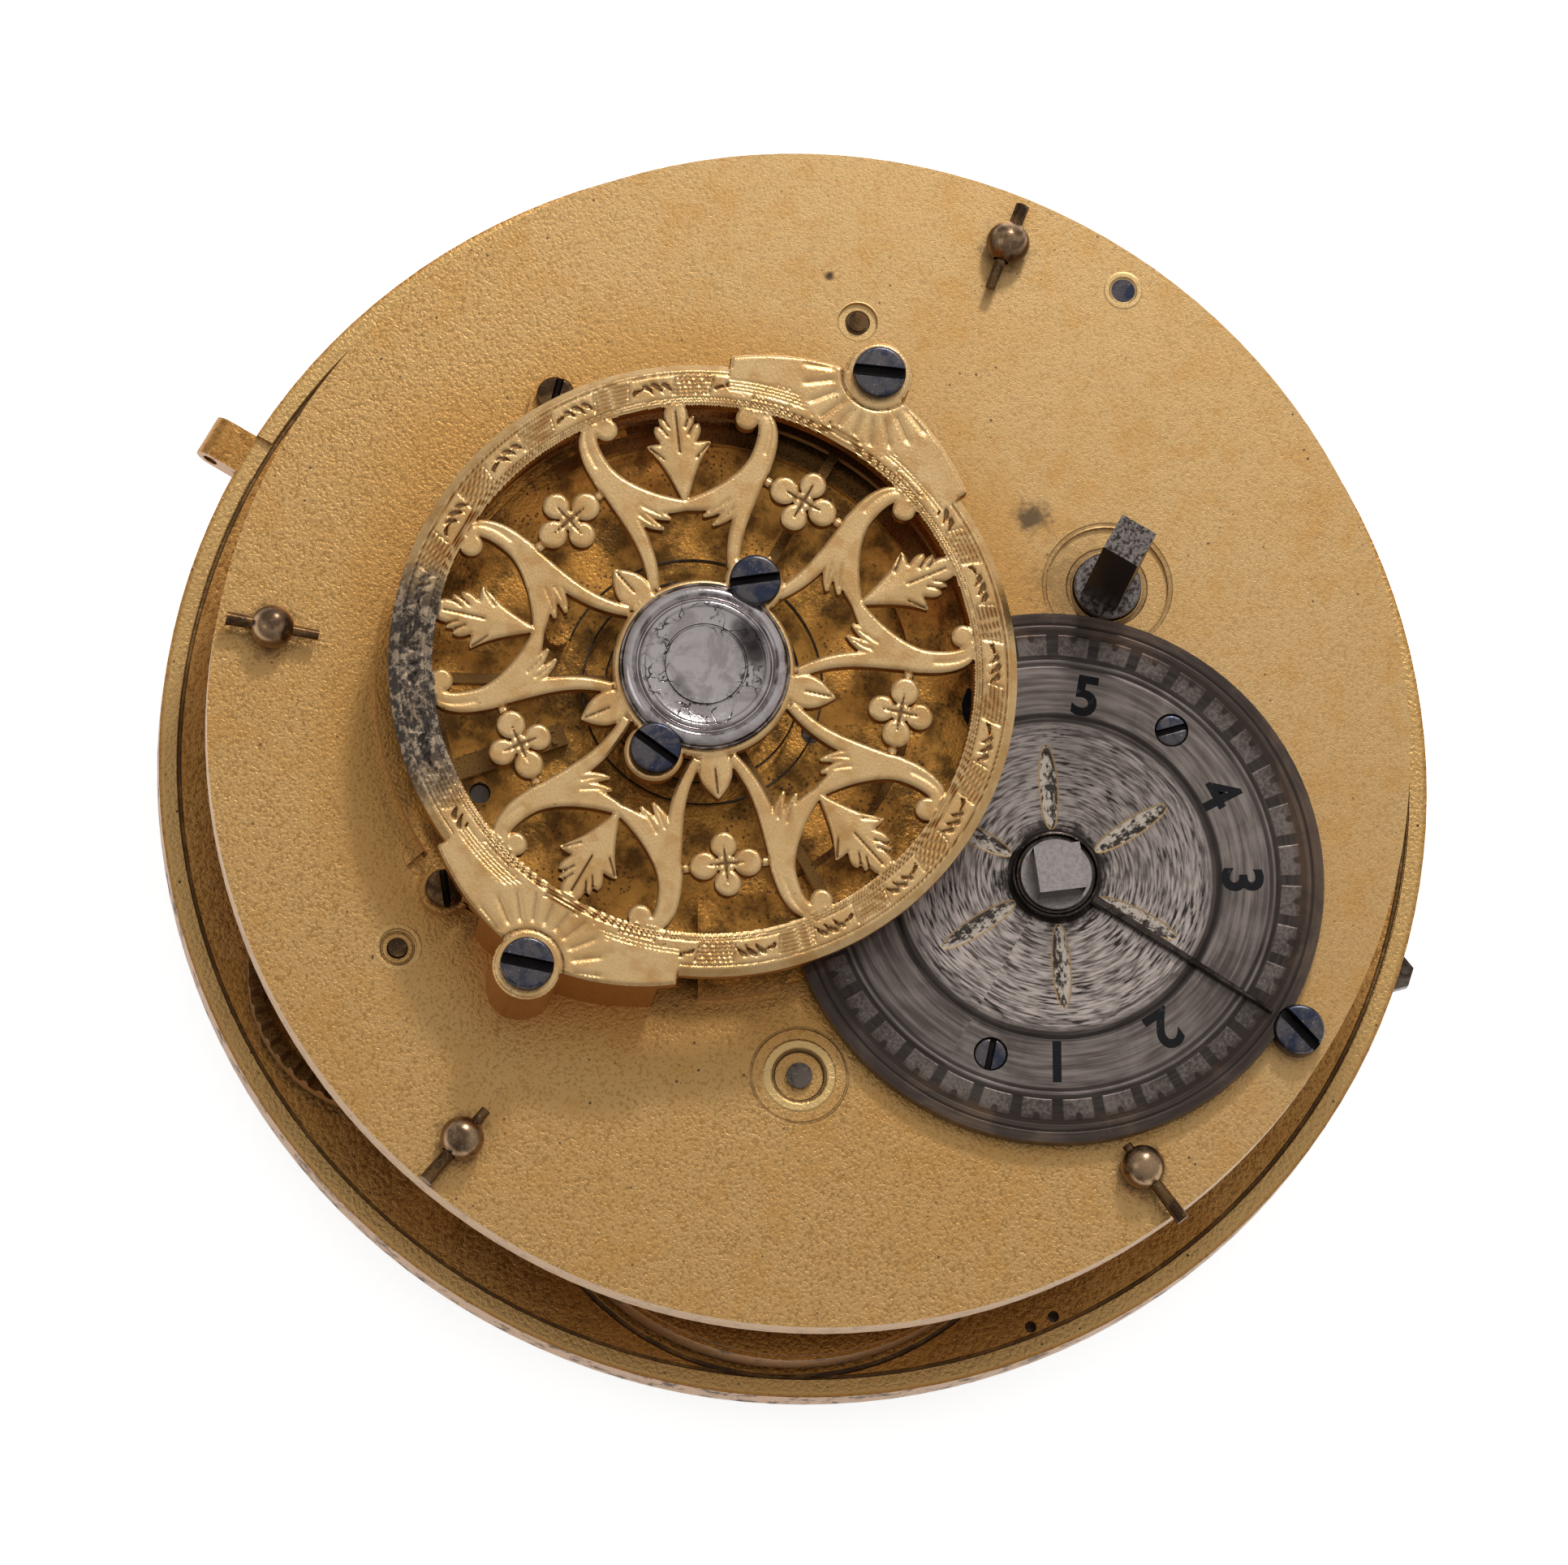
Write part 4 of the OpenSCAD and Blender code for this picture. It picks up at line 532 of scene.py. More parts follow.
@dataclass(frozen=True)
class Steel:
    """Hardened steel: its two tones, rust at random, scratches, pale level faces and dark upright ones about a
    given point as painted light and shade, and, for the cap, fine stain lines and painted dark reflections.
    """

    name: str
    temper: Temper
    crackle: bool = False
    rust: float = 0.35
    rough: float = 0.3
    bright_r: tuple[float, float, float] | None = None
    speckle: float = 1.0
    # tones painted on the faces near bright_r: pale on the lit level faces, dark on the shaded upright sides
    pale: tuple[Colour, Colour] = (ink(170, 160, 156), ink(96, 86, 80))
    wall: Colour = ink(72, 57, 50)
    scratch: Colour = ink(196, 190, 186)
    rust_tone: Colour = ink(82, 52, 32)
    crack: Colour = ink(46, 38, 36)
    crack_r: Point = (1.32, 1.78)
    # dark tone of the cap's painted reflections and shade
    stain: Colour = ink(52, 46, 44)
    groove: Colour = ink(44, 38, 37)
    slot: Colour = ink(22, 17, 15)
    stains: tuple[Spot, ...] = ()
    lines: tuple[Turned, ...] = ()

    def make(self) -> Material:
        """Builds the material."""
        g = Graph(self.name)
        x, y, z = g.xyz
        cloud = g.noise(1.1, 4, 0.65, 0.8)
        colour = g.mix(*self.temper.value, cloud.step(0.42, 0.62))
        # near the given point, level faces are painted pale as lit and upright faces dark as shaded
        if self.bright_r is not None:
            *at, r = self.bright_r
            near = 1 - g.away(at).step(r - 0.05, r + 0.05)
            spotty = g.noise(7.0, 3, 0.7).step(0.42, 0.62) * self.speckle
            pale = g.mix(self.wall, g.mix(*self.pale, spotty), abs(g.facing()).step(0.3, 0.7))
            colour = g.mix(colour, pale, near)
        hair = g.noise(1.6, 2, 0.5, place=g.vector(x * 2.0 + y * 9.0, y * 1.2 - x * 7.0, z * 4))
        colour = g.mix(colour, self.scratch, hair.step(0.64, 0.74) * 0.35)
        rust = g.noise(2.6, 5, 0.7).step(0.6, 0.74) * self.rust
        colour = g.mix(colour, self.rust_tone, rust)
        relief = hair * 0.5 + cloud * 0.2
        if self.crackle:
            line = self.cracks(g, g.away(BALANCE))
            colour = g.mix(colour, self.crack, line * 0.9)
            relief = relief - line * 0.6
        # on the cap these spots are painted dark reflections and shade
        for s in self.stains:
            colour = g.mix(colour, self.stain, g.blot(g.away(s.at), s))
        for t in self.lines:
            ring = g.band(g.away(t.at), t.radius, t.width * 0.5, t.width * 0.6)
            ring = ring * (0.45 + cloud.step(0.4, 0.6) * 0.55) * t.strength
            colour = g.mix(colour, self.groove, ring)
            relief = relief - ring * 0.5
        cut = g.cut().step(0.3, 0.8)
        colour = g.mix(colour, self.slot, cut * 0.92)
        rough = self.rough + (hair - 0.5) * 0.2 + rust * 0.4 + cut * 0.3
        return g.finish(colour, rough, 1.0 - rust * 0.6, relief, 0.004)

    def cracks(self, g: Graph, out: Val) -> Val:
        """Fine stain lines near two rings of the cap, 1 on a line."""
        drift = g.value("ShaderNodeTexNoise", None, {"Vector": g.place, "Scale": 1.4, "Detail": 4.0}, "Color")
        bent = g.value("ShaderNodeVectorMath", {"operation": "ADD"}, {0: g.place, 1: drift})
        line = 1 - g.cells(1.5, "DISTANCE_TO_EDGE", bent).step(0.016, 0.05)
        blot = g.noise(5.0, 4, 0.7).step(0.6, 0.66)
        ring = g.band(out, self.crack_r[0], 0.08, 0.3).top(g.band(out, self.crack_r[1], 0.08, 0.2))
        return line.top(blot) * ring * g.noise(0.9, 3).step(0.42, 0.52)


@dataclass(frozen=True)
class DarkSilver:
    """Oxidised silvering of the regulator disc: turned rings, a ring of scale blocks and a star."""

    name: str
    centre: Point = REGULATOR
    blocks: int = 36
    block_in: float = 7.05
    block_out: float = 7.7
    brushed_r: float = 4.95
    rays: int = 6
    star_from: float = 1.5
    star_to: float = 4.2
    star_turn: float = -0.06
    black: Colour = ink(34, 28, 25)
    dark: Colour = ink(86, 76, 71)
    pale: Colour = ink(142, 130, 123)
    worn: Colour = ink(112, 101, 95)
    bright: Colour = ink(194, 180, 172)
    block_tones: tuple[Colour, Colour] = (ink(78, 69, 64), ink(124, 112, 105))
    rim_tones: tuple[Colour, Colour] = (ink(60, 49, 43), ink(90, 70, 54))
    star_tones: tuple[Colour, Colour] = (ink(50, 43, 39), ink(196, 182, 166))
    star_edge: Colour = ink(166, 134, 90)

    def make(self) -> Material:
        """Builds the material."""
        g = Graph(self.name)
        out = g.away(self.centre)
        way = g.bearing(self.centre)
        streak = g.noise(1.0, 2, 0.5, place=g.vector(out * 12.0, way * out * 1.6, 0.0))
        arcs = g.noise(1.0, 3, 0.6, place=g.vector(out * 8.0, way * out * 0.8, 5.0))
        brush = g.noise(1.0, 3, 0.6, place=g.vector(out * 7.0, way * 2.2, 3.0))
        cloud = g.noise(0.35, 4, 0.65, 0.7)
        fine = g.noise(11, 2)
        # brushed middle, with flecks, a painted dark sector of the brushed sheen and grime at the hub
        colour = g.mix(self.dark, self.pale, (brush * 0.6 + cloud * 0.4).step(0.36, 0.66))
        inner = 1 - out.step(self.brushed_r - 0.35, self.brushed_r + 0.05)
        sheen = (streak * 0.75 + cloud * 0.35 - 0.05).step(0.36, 0.62)
        colour = g.mix(colour, g.mix(self.worn, self.bright, sheen), inner * 0.95)
        fleck = (0.5 - streak).step(0.04, 0.11) * g.noise(0.9, 3).step(0.36, 0.6)
        fleck = fleck.top((0.5 - arcs).step(0.04, 0.16) * 0.6)
        painted_dark_sector = g.math("COSINE", way - 0.1).step(-0.2, 1.0) * 0.35
        colour = g.mix(colour, self.black, (fleck * 0.85).top(painted_dark_sector) * inner)
        grime = 1 - (out + (g.noise(1.8, 3, 0.7) - 0.5) * 1.6).step(1.4, 1.9)
        colour = g.mix(colour, self.black, grime * 0.9)
        # scale blocks on their dark ground
        middle, half = (self.block_in + self.block_out) / 2, (self.block_out - self.block_in) / 2
        turn = way * (self.blocks / (2 * math.pi))
        share = turn - g.math("FLOOR", turn)
        block = g.band(share, 0.5, 0.34, 0.05) * g.band(out, middle, half * 0.92, 0.05)
        tick = g.band(share, 0.5, 0.0, 0.12) * out.step(self.block_out - 0.34, self.block_out)
        ground = g.band(out, middle, half + 0.12, 0.06)
        colour = g.mix(colour, self.black, ground * 0.8)
        grey = g.mix(*self.block_tones, (fine * 0.5 + cloud * 0.5).step(0.36, 0.62))
        colour = g.mix(colour, grey, block * (1 - tick.step(0.1, 0.35)) * 0.9)
        colour = g.mix(colour, self.black, g.band(out, self.brushed_r + 0.12, 0.13, 0.06) * 0.7)
        rim = out.step(7.45, 7.75)
        colour = g.mix(colour, g.mix(*self.rim_tones, cloud.step(0.45, 0.65)), rim * 0.8)
        rings = g.band(out, self.block_out + 0.34, 0.02, 0.05) * 0.8
        steps = (self.block_in - 0.3, self.brushed_r + 0.15, self.brushed_r - 0.3, 1.4)
        for r, force in zip(steps, (0.9, 0.8, 0.5, 0.9)):
            rings = rings.top(g.band(out, r, 0.03, 0.07) * force)
        # star of chased rays, each painted lit on one side and shaded on the other, with painted glints
        ray = (way + self.star_turn) * (self.rays / (2 * math.pi))
        lean = ray - g.math("FLOOR", ray) - 0.5
        side = abs(lean) * out * (2 * math.pi / self.rays)
        length = (out - self.star_from) / (self.star_to - self.star_from)
        swell = g.math("SQRT", (length * (1 - length)).top(0.0)) * 0.58
        dash = (1 - (side - swell).step(-0.06, 0.03)) * (swell > 0.02)
        edge = g.band(side - swell, 0.0, 0.015, 0.03) * (swell > 0.02)
        glint = g.noise(1.0, 3, 0.6, place=g.vector(out * 5.0, side * 9.0, way))
        shine = (glint + lean.step(-0.06, 0.06) * 0.16 - 0.08).step(0.42, 0.58)
        colour = g.mix(colour, g.mix(*self.star_tones, shine), dash * 0.9)
        colour = g.mix(colour, self.star_edge, edge * 0.8)
        colour = g.mix(colour, self.black, rings * 0.8)
        relief = streak * 0.3 * inner + fine * 0.15 + block * 0.8 - rings * 0.8 - ground * 0.5 - dash * 0.5
        return g.finish(colour, 0.38 + (streak - 0.5) * 0.3, 0.9, relief, 0.014)


@dataclass(frozen=True)
class Brass:
    """Cut brass of the wheels and brackets, with file marks and a little tarnish."""

    name: str
    main: Colour = ink(196, 156, 88)
    tarnish: Colour = ink(120, 84, 40)
    rough: float = 0.34

    def make(self) -> Material:
        """Builds the material."""
        g = Graph(self.name)
        x, y, z = g.xyz
        cloud = g.noise(0.8, 4, 0.6, 0.5)
        marks = g.noise(1.0, 3, 0.6, place=g.vector(x * 1.2, y * 14.0, z * 14.0))
        colour = g.mix(self.main, self.tarnish, cloud.step(0.45, 0.75) * 0.8)
        colour = g.mix(colour, self.tarnish, (0.48 - marks).step(0, 0.2) * 0.4)
        return g.finish(colour, self.rough + (marks - 0.5) * 0.2, 1.0, marks, 0.012)


@dataclass(frozen=True)
class Enamel:
    """Fired white enamel with faint clouds, pin holes and hair lines."""

    name: str
    white: Colour = ink(240, 238, 230)
    shade: Colour = ink(226, 222, 210)
    mark: Colour = ink(120, 112, 100)

    def make(self) -> Material:
        """Builds the material."""
        g = Graph(self.name)
        cloud = g.noise(0.2, 4, 0.6)
        pin = (1 - g.cells(0.5).step(0.02, 0.05)) * g.noise(0.3).step(0.55, 0.6)
        broken = g.noise(0.09).step(0.56, 0.6) * 0.5
        hair = (1 - g.cells(0.055, "DISTANCE_TO_EDGE").step(0.0006, 0.0016)) * broken
        colour = g.mix(self.white, self.shade, cloud.step(0.4, 0.7))
        colour = g.mix(colour, self.mark, pin.top(hair))
        wave = g.noise(0.6, 2)
        return g.finish(colour, 0.16 + (cloud - 0.5) * 0.08, 0.0, wave, 0.02, {"IOR": 1.52}, 0.4)


@dataclass(frozen=True)
class DialInk:
    """Black filling of numerals, a little worn."""

    name: str
    rough: float = 0.3
    gloss: float = 0.5
    fresh: Colour = ink(22, 21, 24)
    faded: Colour = ink(74, 70, 68)

    def make(self) -> Material:
        """Builds the material."""
        g = Graph(self.name)
        worn = g.noise(3.5, 4, 0.65)
        colour = g.mix(self.fresh, self.faded, worn.step(0.55, 0.8))
        return g.finish(
            colour, self.rough + (worn - 0.5) * 0.2, 0.0, worn, 0.006, {"Specular IOR Level": self.gloss}
        )


class Shop:
    """Finishes of the movement, each made once."""

    def __init__(self) -> None:
        """Makes the finishes."""
        sinks = (
            Turned(*FUSEE, 1.98, 0.09, 0.32), Turned(*FUSEE, 1.2, 0.1, 0.55),
            Turned(*BARREL, 1.5, 0.06, 0.38), Turned(*BARREL, 0.8, 0.06, 0.6),
            Turned(*CONTRATE, 0.5, 0.05, 0.4), Turned(*RIVET, 0.33, 0.06, 0.8), Turned(*STUD, 0.4, 0.06, 0.4),
        )
        bushes = (
            Turned(*BARREL, 1.0, 0.16, 0.6), Turned(*RIVET, 0.5, 0.16, 0.25), Turned(*STUD, 0.5, 0.12, 0.3),
            Turned(*CONTRATE, 0.64, 0.12, 0.25),
        )
        pin_grime = tuple(Spot(*polar((0, 0), PILLAR_R, a), 0.72, 0.25, 0.75) for a in PILLARS)
        # pool under the bridge: partly deeper orange gilding, partly painted shade and shadow of the arms
        shade_under_bridge = Spot(*BALANCE, 9.2, 0.7, 0.92)
        self.top_gilt = Gilding(
            "top_gilt", smooth_side=0.7,
            # the warm spot round the balance is painted shade and warm reflection from the bridge
            warm_spots=(Spot(*BALANCE, 10.4, 2.6, 0.75), Spot(*FUSEE, 1.0, 1.6, 0.4)),
            stains=(
                Spot(9.58, -2.45, 0.5, 0.25, 0.75), Spot(13.11, 6.79, 0.14, 0.08, 0.95),
                Spot(8.4, -4.9, 1.5, 0.5, 0.35), *pin_grime,
            ),
            lines=sinks, bright_rings=bushes, pool=shade_under_bridge,
        ).make()
        self.low_gilt = Gilding(
            "low_gilt", light=ink(194, 148, 90), aged=ink(188, 140, 80), warm=ink(168, 114, 54),
            wall=ink(176, 140, 106), warmth=0.65, specks=0.95, stipple=7.5, depth=0.03, wall_dirt=0.85,
            warm_spots=(Spot(-15.8, -9.5, 6.0, 6.0, 0.75),),
            lines=(Turned(*BARREL, 8.47, 0.1, 0.95), Turned(0, 0, 19.35, 0.08, 0.7)),
            bright_rings=(Turned(0, 0, 19.64, 0.36, 0.4),),
        ).make()
        self.carving = Carving("carved_gilt").make()
        # the slide, the rack cover and the hairspring stud take the painted shade of the pool under the bridge
        self.slide_gilt = Gilding(
            "slide_gilt", light=ink(200, 152, 92), aged=ink(196, 146, 84), warm=ink(184, 132, 70), warmth=0.8,
            specks=0.95, pool=shade_under_bridge,
        ).make()
        # gilding painted darker as shade, for the balance, the regulator rack and the contrate wheel, which sit
        # in shadow under the bridge and the top plate
        self.balance_gilt = Gilding(
            "balance_gilt", light=ink(150, 116, 70), aged=ink(140, 104, 60), warm=ink(110, 80, 42),
            stipple=14, depth=0.008, rough=0.3,
        ).make()
        self.blue = Steel("blued_screws", Temper.BLUE).make()
        # painted dark reflections and shade on the cap's mouldings and in its oil sink
        dark_reflections = tuple(
            Spot(*polar(BALANCE, far, a), *mark)
            for far, a, *mark in (
                (1.6, -46, 0.18, 0.34, 0.85), (1.66, -29, 0.24, 0.34, 0.9), (1.62, -12, 0.15, 0.3, 0.7),
                (1.02, 158, 0.05, 0.34, 0.5), (1.06, 178, 0.05, 0.26, 0.4),
            )
        )
        rings = tuple(Turned(*BALANCE, *r) for r in ((2.6, 0.1, 0.85), (2.22, 0.06, 0.75), (1.24, 0.03, 0.7)))
        self.cap = Steel(
            "cap_steel", Temper.BRIGHT, crackle=True, rust=0.1, rough=0.17, stains=dark_reflections, lines=rings
        ).make()
        self.bright = Steel("bright_steel", Temper.BRIGHT, rust=0.25).make()
        self.dark = Steel("dark_steel", Temper.DARK, rust=0.5, rough=0.36).make()
        self.wound = Steel(
            "fusee_steel", Temper.DARK, rust=0.5, rough=0.34, bright_r=(*FUSEE, 1.0),
            pale=(ink(136, 126, 121), ink(62, 54, 50)),
        ).make()
        near_hub = {"bright_r": (*REGULATOR, 1.12), "speckle": 0.3}
        self.hub = Steel("hub_steel", Temper.DARK, rust=0.3, rough=0.34, **near_hub).make()
        self.pointer = Steel("pointer_steel", Temper.BLACK, rust=0.2, **near_hub).make()
        self.black = Steel("hairspring_steel", Temper.BLACK).make()
        self.brown = Steel("slide_screw_steel", Temper.BROWN).make()
        self.bronze = Steel("pillar_bronze", Temper.BRONZE, rust=0.3, rough=0.28).make()
        self.silver = DarkSilver("disc_silver").make()
        self.brass = Brass("wheel_brass").make()
        self.enamel = Enamel("dial_enamel").make()
        self.ink = DialInk("dial_ink").make()
        self.wax = DialInk("disc_wax", 0.65, 0.15).make()


class Maker:
    """Turns arrays in millimetres into pieces that ride on a body."""

    @staticmethod
    def piece(
        name: str, part: Mesh, material: Material, body: str, slot: str, solid: str = "",
        cut: Array | None = None, sharp: float = 35.0,
    ) -> bpy.types.Object:
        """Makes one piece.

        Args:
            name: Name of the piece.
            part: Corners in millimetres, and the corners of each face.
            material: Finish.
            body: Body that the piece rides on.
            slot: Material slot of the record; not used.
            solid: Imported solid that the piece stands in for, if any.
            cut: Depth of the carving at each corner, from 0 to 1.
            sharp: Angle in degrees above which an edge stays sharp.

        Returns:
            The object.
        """
        points, faces = part
        mesh = bpy.data.meshes.new(name)
        mesh.from_pydata((np.asarray(points, float) * MM).tolist(), [], [list(f) for f in faces])
        mesh.update()
        if cut is not None:
            layer = mesh.attributes.new("cut", "FLOAT", "POINT")
            layer.data.foreach_set("value", np.asarray(cut, np.float32))
        Maker.coat(mesh, material, sharp)
        made = added(name, mesh)
        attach(made, body)
        if solid:
            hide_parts(solid)
        LOG.info("piece %s: %d faces on %s", name, len(mesh.polygons), body)
        return made

    @staticmethod
    def coat(mesh: bpy.types.Mesh, material: Material, sharp: float) -> None:
        """Gives a mesh one finish, smooth but for its sharp edges."""
        mesh.materials.clear()
        mesh.materials.append(material)
        mesh.polygons.foreach_set("use_smooth", [True] * len(mesh.polygons))
        mesh.set_sharp_from_angle(angle=math.radians(sharp))

    @staticmethod
    def dress(nodes: Nodes, material: Material, *names: str) -> None:
        """Gives solids a finish in place of their packed one."""
        for name in names:
            Maker.coat(nodes[name].data, material, SOLID_SHARP)
            LOG.info("dressed %s in %s", name, material.name)

    @staticmethod
    def copied(solid: bpy.types.Object) -> Mesh:
        """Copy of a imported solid."""
        points = np.array([v.co[:] for v in solid.data.vertices], float) / MM
        return points, [list(f.vertices) for f in solid.data.polygons]

    @staticmethod
    def skin(rings: Sequence[Array], caps: bool = True) -> Mesh:
        """Skin over rings of as many corners each, closed at both ends unless it has no caps."""
        n, last = len(rings[0]), len(rings) - 1
        faces: Faces = [
            [i * n + k, i * n + (k + 1) % n, (i + 1) * n + (k + 1) % n, (i + 1) * n + k]
            for i in range(last) for k in range(n)
        ]
        if caps:
            faces += [list(reversed(range(n))), list(range(last * n, (last + 1) * n))]
        return np.concatenate(rings), faces

    @staticmethod
    def join(parts: Sequence[Mesh]) -> Mesh:
        """Joins meshes into one list of points and faces."""
        points: list[Array] = []
        faces: Faces = []
        start = 0
        for p, f in parts:
            points.append(np.asarray(p, float))
            faces.extend([[i + start for i in face] for face in f])
            start += len(p)
        return np.concatenate(points), faces

    @staticmethod
    def lathe(profile: Sequence[Point], steps: int = 96) -> Mesh:
        """Turns a profile of radius and height about the z axis."""
        a = np.linspace(0, 2 * math.pi, steps, endpoint=False)
        rings = [np.stack([r * np.cos(a), r * np.sin(a), np.full(steps, z)], axis=1) for r, z in profile]
        return Maker.skin(rings, caps=False)

    @staticmethod
    def move(part: Mesh, at: Point, turn: float = 0.0, z: float = 0.0) -> Mesh:
        """Turns a mesh about z by degrees and moves it."""
        a = math.radians(turn)
        spin = np.array([[math.cos(a), -math.sin(a), 0], [math.sin(a), math.cos(a), 0], [0, 0, 1]])
        return part[0] @ spin.T + np.array([at[0], at[1], z]), part[1]

    @staticmethod
    def strip(line: Array, thick: float, high: float) -> Mesh:
        """Flat strip on edge along a climbing line round the z axis."""
        out = line[:, :2] / np.linalg.norm(line[:, :2], axis=1)[:, None]
        corners = []
        for side, lift in ((-1, -1), (1, -1), (1, 1), (-1, 1)):
            ring = line.copy()
            ring[:, :2] += side * out * thick / 2
            ring[:, 2] += lift * high / 2
            corners.append(ring)
        return Maker.skin(np.stack(corners, axis=1))


@dataclass
class Sheet:
    """Closed mesh of a flat sheet that a distance field cuts out and a height field carves."""

    distance: Callable[[Array, Array], Array]
    height: Callable[[Array, Array, Array], Array]
    low: float
    step: float
    reach: tuple[float, float, float, float]

    def build(self) -> Mesh:
        """Samples the fields on a grid and follows the outline through its cells.

        Returns:
            Points and faces, the upper points first.
        """
        x0, y0, x1, y1 = self.reach
        xs = np.arange(x0, x1 + self.step, self.step)
        ys = np.arange(y0, y1 + self.step, self.step)
        gx, gy = np.meshgrid(xs, ys, indexing="ij")
        field_ = self.distance(gx.ravel(), gy.ravel()).reshape(gx.shape)
        field_ = np.where(np.abs(field_) < TINY, -TINY, field_)
        inside = field_ < 0
        number = -np.ones(gx.shape, int)
        number[inside] = np.arange(inside.sum())
        flat = [np.stack([gx[inside], gy[inside]], axis=1)]
        count = int(inside.sum())
        cross: dict[tuple[int, int, int], int] = {}
        for axis in (0, 1):
            a = field_[:-1, :] if axis == 0 else field_[:, :-1]
            b = field_[1:, :] if axis == 0 else field_[:, 1:]
            hit = np.argwhere((a < 0) != (b < 0))
            share = a[tuple(hit.T)] / (a[tuple(hit.T)] - b[tuple(hit.T)])
            spots = np.stack([xs[hit[:, 0]], ys[hit[:, 1]]], axis=1)
            spots[:, axis] += share * self.step
            for (i, j), k in zip(hit.tolist(), range(count, count + len(hit))):
                cross[(axis, i, j)] = k
            flat.append(spots)
            count += len(hit)
        plane = np.concatenate(flat)
        full = inside[:-1, :-1] & inside[1:, :-1] & inside[1:, 1:] & inside[:-1, 1:]
        some = inside[:-1, :-1] | inside[1:, :-1] | inside[1:, 1:] | inside[:-1, 1:]
        i, j = np.nonzero(full)
        tops: Faces = np.stack(
            [number[i, j], number[i + 1, j], number[i + 1, j + 1], number[i, j + 1]], axis=1
        ).tolist()
        walls: Faces = []
        for i, j in np.argwhere(some & ~full).tolist():
            corners = [(i, j), (i + 1, j), (i + 1, j + 1), (i, j + 1)]
            edges = [(0, i, j), (1, i + 1, j), (0, i, j + 1), (1, i, j)]
            face: list[int] = []
            leaving = -1
            first_entry = -1
            for k in range(4):
                here, there = inside[corners[k]], inside[corners[(k + 1) % 4]]
                if here:
                    face.append(int(number[corners[k]]))
                if here != there:
                    at = cross[edges[k]]
                    face.append(at)
                    if here:
                        leaving = at
                    elif leaving >= 0:
                        walls.append([leaving, leaving + count, at + count, at])
                        leaving = -1
                    else:
                        first_entry = at
            if leaving >= 0 and first_entry >= 0:
                walls.append([leaving, leaving + count, first_entry + count, first_entry])
            tops.append(face)
        top_z = self.height(plane[:, 0], plane[:, 1], self.distance(plane[:, 0], plane[:, 1]))
        upper = np.column_stack([plane, top_z])
        lower = np.column_stack([plane, np.full(count, self.low)])
        under = [[k + count for k in reversed(face)] for face in tops]
        return np.concatenate([upper, lower]), tops + under + walls


def circle_gap(x: Array, y: Array, at: Point, radius: float) -> Array:
    """Distance from a circle, negative inside it."""
    return np.hypot(x - at[0], y - at[1]) - radius


def line_gap(x: Array, y: Array, line: Array) -> Array:
    """Distance from a line of straight stretches."""
    best = np.full(x.shape, FAR)
    for (ax, ay), (bx, by) in zip(line[:-1], line[1:]):
        dx, dy = bx - ax, by - ay
        t = np.clip(((x - ax) * dx + (y - ay) * dy) / max(dx * dx + dy * dy, TINY**2), 0, 1)
        best = np.minimum(best, np.hypot(x - ax - t * dx, y - ay - t * dy))
    return best


def outline_gap(x: Array, y: Array, corners: Array) -> Array:
    """Distance from a closed outline, negative inside it."""
    best = line_gap(x, y, np.concatenate([corners, corners[:1]]))
    odd = np.zeros(x.shape, bool)
    for (ax, ay), (bx, by) in zip(corners, np.roll(corners, -1, axis=0)):
        if ay != by:
            odd ^= ((ay > y) != (by > y)) & (x < ax + (y - ay) * (bx - ax) / (by - ay))
    return np.where(odd, -best, best)


def rotated(x: Array, y: Array, degrees: float) -> tuple[Array, Array]:
    """Places as seen from axes that are turned by an angle."""
    c, s = math.cos(math.radians(degrees)), math.sin(math.radians(degrees))
    return x * c + y * s, -x * s + y * c


def soft_cut(gap: Array, wide: float | Array) -> Array:
    """Cut along a line, 1 on it and fading beyond its width."""
    return np.exp(-((gap / wide) ** 2))


def between(value: Array, low0: float, low1: float, high0: float, high1: float) -> Array:
    """1 from low1 to high0, falling to 0 at low0 and at high1."""
    return smooth_step(low0, low1, value) * (1 - smooth_step(high0, high1, value))


def curve(ends: Sequence[Point], steps: int = 14) -> Array:
    """Points of a curve that four control points bend."""
    c = np.array(ends, float)
    t = np.linspace(0, 1, steps + 1)[:, None]
    return (1 - t) ** 3 * c[0] + 3 * t * (1 - t) ** 2 * c[1] + 3 * t * t * (1 - t) * c[2] + t**3 * c[3]


def ribbon(ends: Sequence[Point], wide0: float, wide1: float, swell: float) -> Array:
    """Outline of a tapering ribbon along a curve."""
    line = curve(ends)
    way = np.gradient(line, axis=0)
    side = np.stack([-way[:, 1], way[:, 0]], axis=1) / np.linalg.norm(way, axis=1)[:, None]
    t = np.linspace(0, 1, len(line))[:, None]
    half = (wide0 + (wide1 - wide0) * t + swell * np.sin(np.pi * t)) / 2
    return np.concatenate([line + side * half, (line - side * half)[::-1]])


